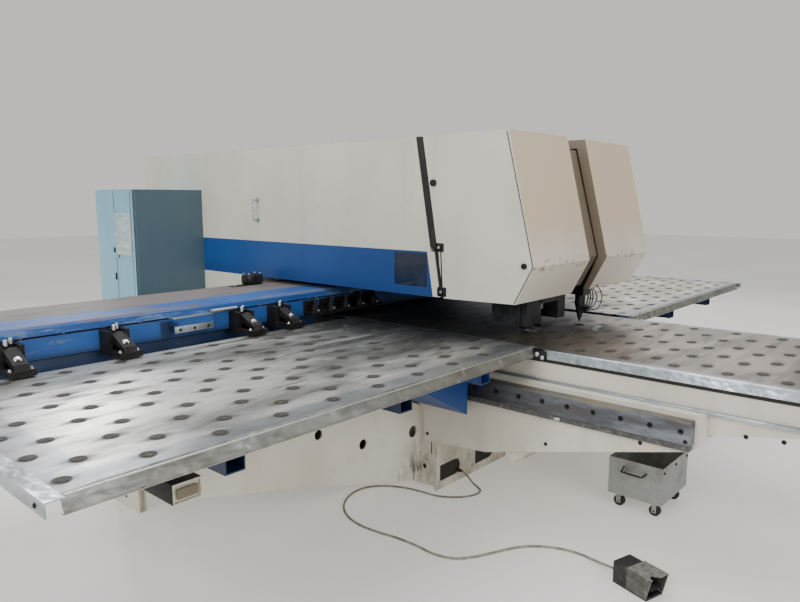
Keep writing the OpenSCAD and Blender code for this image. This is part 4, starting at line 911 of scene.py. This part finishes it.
base_plate = slab("base_plate", at(-669, -752, 2), at(669, -745.5, 302))
for x in SLOTS_X:
    slot_body = slab("slot", at(x, -760, SLOT_Z - SLOT_R), at(x + SLOT_L, -740, SLOT_Z + SLOT_R))
    slot_end = rod("slot", at(x + SLOT_L, -760, SLOT_Z), at(x + SLOT_L, -740, SLOT_Z),
                   SLOT_R * MM, 32)
    for cutter in (slot_body, slot_end):
        take(base_plate)
        cut = base_plate.modifiers.new("slot", "BOOLEAN")
        cut.operation = "DIFFERENCE"
        cut.object = cutter
        bpy.ops.object.modifier_apply(modifier=cut.name)
        bpy.data.objects.remove(cutter)
dress(base_plate, "frame", "machine")
ring_boss = rod("ring_boss", at(-668, -666, 137), at(-675, -666, 137), 0.021, 32)
inset_and_push(ring_boss, LEFT, 0.006, 0.012)
side_pair("ring_boss", [round_off(ring_boss, 0.001, 1)], "frame", MACHINE)
boss_core = rod("boss_core", at(-666, -666, 137), at(-669.5, -666, 137), 0.014, 24)
# Black disc for the small hole above the boss: painted shade inside the hole.
boss_hole = rod("boss_hole", at(-667, -679, 183), at(-669, -679, 183), 0.005, 16)
side_pair("boss_core", [boss_core, boss_hole], "rubber", MACHINE)
# Black sheets inside the slots: painted shade in the slots.
slot_darks = [slab("slot_dark", at(x - 4, -747.4, 46), at(x + 204, -745, 152))
              for x in SLOTS_X]
corner_gap = slab("corner_gap", at(-670, -718, 221), at(-667, -713, 300))
dress(joined("base_gaps", slot_darks + [corner_gap]), "rubber", "machine")

# Inserts of the brush tables: a ring and a screw each, set just below the sheet's face
INSERT_R = 0.0285
SIDE_SHEET_Z = 949.6
SIDE_ROWS = 11
SIDE_ROW_L = 2289
CENTRE_SHEET_Z = 937.6
CENTRE_ROWS = 9
CENTRE_ROW_L = 1040


def insert():
    ring = post("ring", -0.002, 0.0012, INSERT_R, 28)
    inset_and_push(ring, UP, 0.0028, 0.0016)
    middle = post("middle", -0.002, 0.0008, 0.0052, 10)
    return joined("insert", [round_off(ring, 0.0003, 1), middle])


def insert_places(first, way, rows, row_length, height):
    """Places of a table's inserts: from the first one the rows run towards way, 1 or -1."""
    return [(first[0] + way * reach, first[1] + row * ROW_STEP, height)
            for row in range(rows)
            for reach in range(row % 2 * ODD_ROW_SHIFT, row_length, COLUMN_STEP)]


right_places = insert_places(SIDE_INSERTS, -1, SIDE_ROWS, SIDE_ROW_L, SIDE_SHEET_Z)
left_places = [(-x, y, z) for x, y, z in right_places]
centre_places = insert_places(CENTRE_INSERTS, 1, CENTRE_ROWS, CENTRE_ROW_L, CENTRE_SHEET_Z)
dress(screws("insert_rings", insert(), left_places + right_places, UP), "casting", "gantry")
dress(screws("centre_insert_rings", insert(), centre_places, UP), "casting", "machine")

# Head doors: locks, key rings, catches and the fold along the front corner
door_lock = rod("door_lock", at(-712, -754, 1792), at(-727, -754, 1792), 0.0185, 32)
inset_and_push(door_lock, LEFT, 0.004, 0.002)
fold = [rod("fold", at(-713.6, -1214, 2040), at(-713.6, -1383, HEAD_FOLD_Z), 0.0026, 8),
        rod("fold", at(-713.6, -1383, HEAD_FOLD_Z), at(-713.6, -1280, 1178), 0.0026, 8)]
side_pair("door_lock", [door_lock] + fold, "rubber", HEAD_DOORS)
key_ring = rod("key_ring", at(-712, -1334, 1372), at(-724, -1334, 1372), 0.015, 28)
inset_and_push(key_ring, LEFT, 0.004, -0.003)
side_pair("key_ring", [round_off(key_ring, 0.0006, 1)], "oxide", HEAD_DOORS)
key_core = rod("key_core", at(-720, -1332, 1370), at(-725, -1332, 1370), 0.0065, 16)
side_pair("key_core", [key_core], "chrome", HEAD_DOORS)
catch = [plate("catch", (-722, -826, 1420), (-700, -772, 1466), 0.003),
         plate("knuckle", (-722, -846, 1172), (-700, -786, 1224), 0.006),
         rod("catch_rod", at(-714, -806, 1424), at(-714, -818, 1216), 0.0035, 10),
         rod("catch_rod", at(-714, -786, 1424), at(-714, -806, 1216), 0.0025, 10)]
side_pair("door_catch", catch, "oxide", MACHINE)
catch_screws = screws("catch_screws", socket_screw(0.008, 0.006),
                      [(-722, -800, 1443), (-722, -816, 1198)], LEFT)
side_pair("catch_screws", [catch_screws], "chrome", MACHINE)


# The seam runs from its upper end at the head's top, and forward by its lean on the way down.
HEAD_TOP_Z = 2050
SEAM_TOP_Y = -649
SEAM_LEAN = 0.17345


def seam_plate(name, bottom, top, rear, front, outer, inner):
    """Flat strip along the inclined seam: rear and front are distances from the seam's line."""
    thing = slab(name, at(-outer, -1, bottom), at(-inner, 1, top))
    for point in thing.data.vertices:
        line = SEAM_TOP_Y * MM - (HEAD_TOP_Z * MM - point.co.z) * SEAM_LEAN
        point.co.y = line + (rear if point.co.y > REAR_EDGE_Y else front) / 1000 + REAR_EDGE_Y
    return thing


band = seam_plate("seam_band", 1440, 2044, 24, -22, 712.5, 692)
lower_band = seam_plate("lower_band", 1172, 1440, -2, -22, 712.5, 692)
side_pair("seam_bands", [band, lower_band], "rubber", MACHINE)
panel_end = seam_plate("stripe_end", 1166, 1416, 50, -2, 714.5, 700)
side_pair("stripe_end", [panel_end], "cover", MACHINE)

# Electric cabinet
pocket = plate("document_pocket", (-1283, 1570, 1300), (-1272, 1790, 1610), 0.003)
dress(pocket, "film", "cabinet_door_front")
pocket_edge = plate("pocket_edge", (-1285, 1566, 1298), (-1272, 1574, 1612))
dress(pocket_edge, "cover", "cabinet_door_front")
door_line = slab("door_line", at(-1274.2, 1553, 70), at(-1272, 1557, 1765))
door_gap = slab("door_gap", at(-1274.2, 1798, 70), at(-1272, 1803.5, 1765))
dress(joined("door_lines", [door_line, door_gap]), "rubber", "cabinet_door_front")
door_latches = [plate("latch", (-1283, 1813, 1315), (-1272, 1823, 1352), 0.002),
                plate("latch", (-1283, 1813, 1111), (-1272, 1823, 1163), 0.002)]
dress(joined("door_latches", door_latches), "oxide", "cabinet_door_rear")

# Cross rail and carriage
rail_unit = round_off(slab("rail_unit", at(-935, 652, 1129), at(-805, 750, 1204)), 0.024, 4)
unit_plate = plate("unit_plate", (-1050, 660, 1129), (-934, 720, 1134))
dress(joined("rail_unit", [rail_unit, unit_plate]), "casting", "gantry")
unit_screws = screws("unit_screws", socket_screw(0.007, 0.006),
                     [(-915, 672, 1203), (-825, 672, 1203), (-915, 730, 1203),
                      (-825, 730, 1203), (-1030, 672, 1134), (-1030, 708, 1134)], UP)
dress(unit_screws, "chrome", "gantry")
web_screws = screws("web_screws", hex_bolt(0.008, 0.006),
                    [(x, 220, 1055) for x in range(-2850, 2900, 380)], FRONT)
dress(web_screws, "oxide", "gantry")

CLAMPS_X = (-2610, -2130, -1385, -1115)
TOOLS_X = [-835 + 133 * k for k in range(5)]
clamp_screws = screws("clamp_screws", socket_screw(0.011, 0.026),
                      [(x + dx, y, 1075) for x in CLAMPS_X for dx, y in ((-14, 84), (18, 118))],
                      UP)
clamp_feet = screws("clamp_feet", hex_bolt(0.009, 0.01),
                    [(x + dx, -30, 985) for x in CLAMPS_X for dx in (-42, 42)], UP)
jaw_pins = screws("jaw_pins", hex_bolt(0.011, 0.012),
                  [(x, -4, 1026) for x in CLAMPS_X], (0, -0.6, 0.8))
tool_screws = screws("tool_screws", socket_screw(0.0085, 0.01),
                     [(x + 36, 124, 1073) for x in TOOLS_X], UP)
tool_tips = screws("tool_tips", hex_bolt(0.007, 0.007),
                   [(x, 67, 1012) for x in TOOLS_X], FRONT)
bar_screws = screws("bar_screws", socket_screw(0.008, 0.008),
                    [(x, 180, 1075) for x in range(-2720, 560, 190)], UP)
dress(joined("carriage_screws", [clamp_screws, clamp_feet, jaw_pins, tool_screws, tool_tips,
                                 bar_screws]), "chrome", "carriage")
strip = plate("sensor_strip", (-1812, 95.5, 1005), (-1578, 98.2, 1041), 0.0006)
cover = plate("sensor_cover", (-1815, 100, 1081), (-1576, 152, 1086))
pipe = rod("carriage_pipe", at(-1575, 128, 1092), at(-1405, 128, 1092), 0.011)
dress(joined("sensor_parts", [strip, cover, pipe]), "trim", "carriage")
# Black discs for the strip's holes: painted shade inside the holes.
strip_holes = screws("strip_holes", post("hole", 0, 0.0008, 0.0085, 20),
                     [(x, 95.6, 1022) for x in (-1780, -1695, -1610)], FRONT)
dress(strip_holes, "rubber", "carriage")

hose_line = [at(-1075, 176, 1080), at(-1050, 170, 1100), at(-1000, 164, 1112),
             at(-940, 164, 1112), at(-890, 170, 1098), at(-872, 176, 1080)]
ribbed = [hose("ribbed_hose", hose_line, 17)]
curve_places = smooth_line(hose_line, 8)
for start, end in zip(curve_places[1::2], curve_places[2::2]):
    middle = (start + end) / 2
    way = (end - start).normalized() * 0.0016
    ribbed.append(rod("rib", middle - way, middle + way, 0.0105, 16))
dress(joined("ribbed_hose", ribbed), "rubber", "carriage")

# Cables that hang beside the laser head
long_loop = [at(168, -1214, 1196), at(180, -1290, 1196), at(235, -1306, 1146),
             at(246, -1306, 1090), at(196, -1298, 1042), at(176, -1216, 1046)]
short_loop = [at(160, -1214, 1186), at(150, -1280, 1188), at(188, -1296, 1140),
              at(196, -1296, 1096), at(150, -1284, 1056), at(168, -1216, 1052)]
laser_loops = [hose("laser_loop", loop, 6) for loop in (long_loop, short_loop)]
dress(joined("laser_loops", laser_loops), "rubber", "laser")

# Corner of the centre table and the scrap bin
corner_block = plate("corner_block", (-624, -1416, 884), (-607, -1342, 934), 0.004)
side_pair("corner_block", [corner_block], "oxide", MACHINE)
corner_bolts = screws("corner_bolts", hex_bolt(0.009, 0.007),
                      [(-624, -1368, 914), (-624, -1398, 900)], LEFT)
side_pair("corner_bolts", [corner_bolts], "chrome", MACHINE)
bin_bolts = screws("bin_bolts", hex_bolt(0.007, 0.005),
                   [(x, -1885, 262) for x in (-152, 20, 192)], FRONT)
bow = hose("bin_bow", [at(-168, -1671, 249), at(-196, -1671, 236), at(-206, -1680, 231),
                       at(-206, -1776, 228), at(-196, -1790, 232), at(-168, -1797, 240)], 9)
dress(joined("bin_bolts", [bin_bolts, bow]), "oxide", "machine")


# Floor and light

FLOOR_SIZE = 60
FLOOR_GLOW = 0.48
ROOM_LIGHT = 0.5
WALL_LIGHT = 1.0

deselect()
bpy.ops.mesh.primitive_plane_add(size=FLOOR_SIZE, location=(0, 0, 0))
floor = settle("floor")
pale = Finish("pale_floor")
floor_tone = pale.mix(pale.noise(0.6, detail=4.0).step(0.3, 0.7), screen(214, 211, 205),
                      screen(206, 203, 197))
pale_floor = pale.surface(floor_tone, 0.75)
for shader in pale.tree.nodes:
    if shader.type == "BSDF_PRINCIPLED":
        shader.inputs["Emission Color"].default_value = screen(210, 207, 201)
        shader.inputs["Emission Strength"].default_value = FLOOR_GLOW
floor.data.materials.append(pale_floor)

world = bpy.data.worlds.new("studio")
bpy.context.scene.world = world
world.use_nodes = True
sky = world.node_tree
sky.nodes.clear()
seen = sky.nodes.new("ShaderNodeLightPath")
room = sky.nodes.new("ShaderNodeBackground")
room.inputs["Color"].default_value = (0.93, 0.96, 1.0, 1)
room.inputs["Strength"].default_value = ROOM_LIGHT
wall = sky.nodes.new("ShaderNodeBackground")
wall.inputs["Color"].default_value = screen(222, 220, 215)
wall.inputs["Strength"].default_value = WALL_LIGHT
either = sky.nodes.new("ShaderNodeMixShader")
shown = sky.nodes.new("ShaderNodeOutputWorld")
sky.links.new(seen.outputs["Is Camera Ray"], either.inputs[0])
sky.links.new(room.outputs[0], either.inputs[1])
sky.links.new(wall.outputs[0], either.inputs[2])
sky.links.new(either.outputs[0], shown.inputs["Surface"])


def soft_lamp(name, place, aim, size, power):
    """A rectangular lamp at a place, turned towards an aim."""
    data = bpy.data.lights.new(name, "AREA")
    data.shape = "RECTANGLE"
    data.size, data.size_y = size
    data.energy = power
    lamp = bpy.data.objects.new(name, data)
    lamp.location = place
    lamp.rotation_euler = (Vector(aim) - Vector(place)).to_track_quat("-Z", "Y").to_euler()
    lamp.visible_camera = False
    bpy.context.scene.collection.objects.link(lamp)


soft_lamp("roof_light", (-0.5, 0.5, 7.5), (-0.2, 0, 0.9), (7.0, 6.0), 420)
soft_lamp("left_key", (-7.5, -1.5, 4.2), (-0.5, 0, 0.9), (4.5, 3.0), 300)
soft_lamp("front_fill", (-2.5, -8.5, 3.6), (0, -0.5, 0.8), (5.5, 3.5), 270)
soft_lamp("rear_window", (0.46, 6.3, 3.0), (-2.6, -0.6, 0.95), (1.0, 1.7), 190)
soft_lamp("right_fill", (8.0, 1.0, 5.5), (0, 0.3, 1.0), (4.0, 4.0), 180)
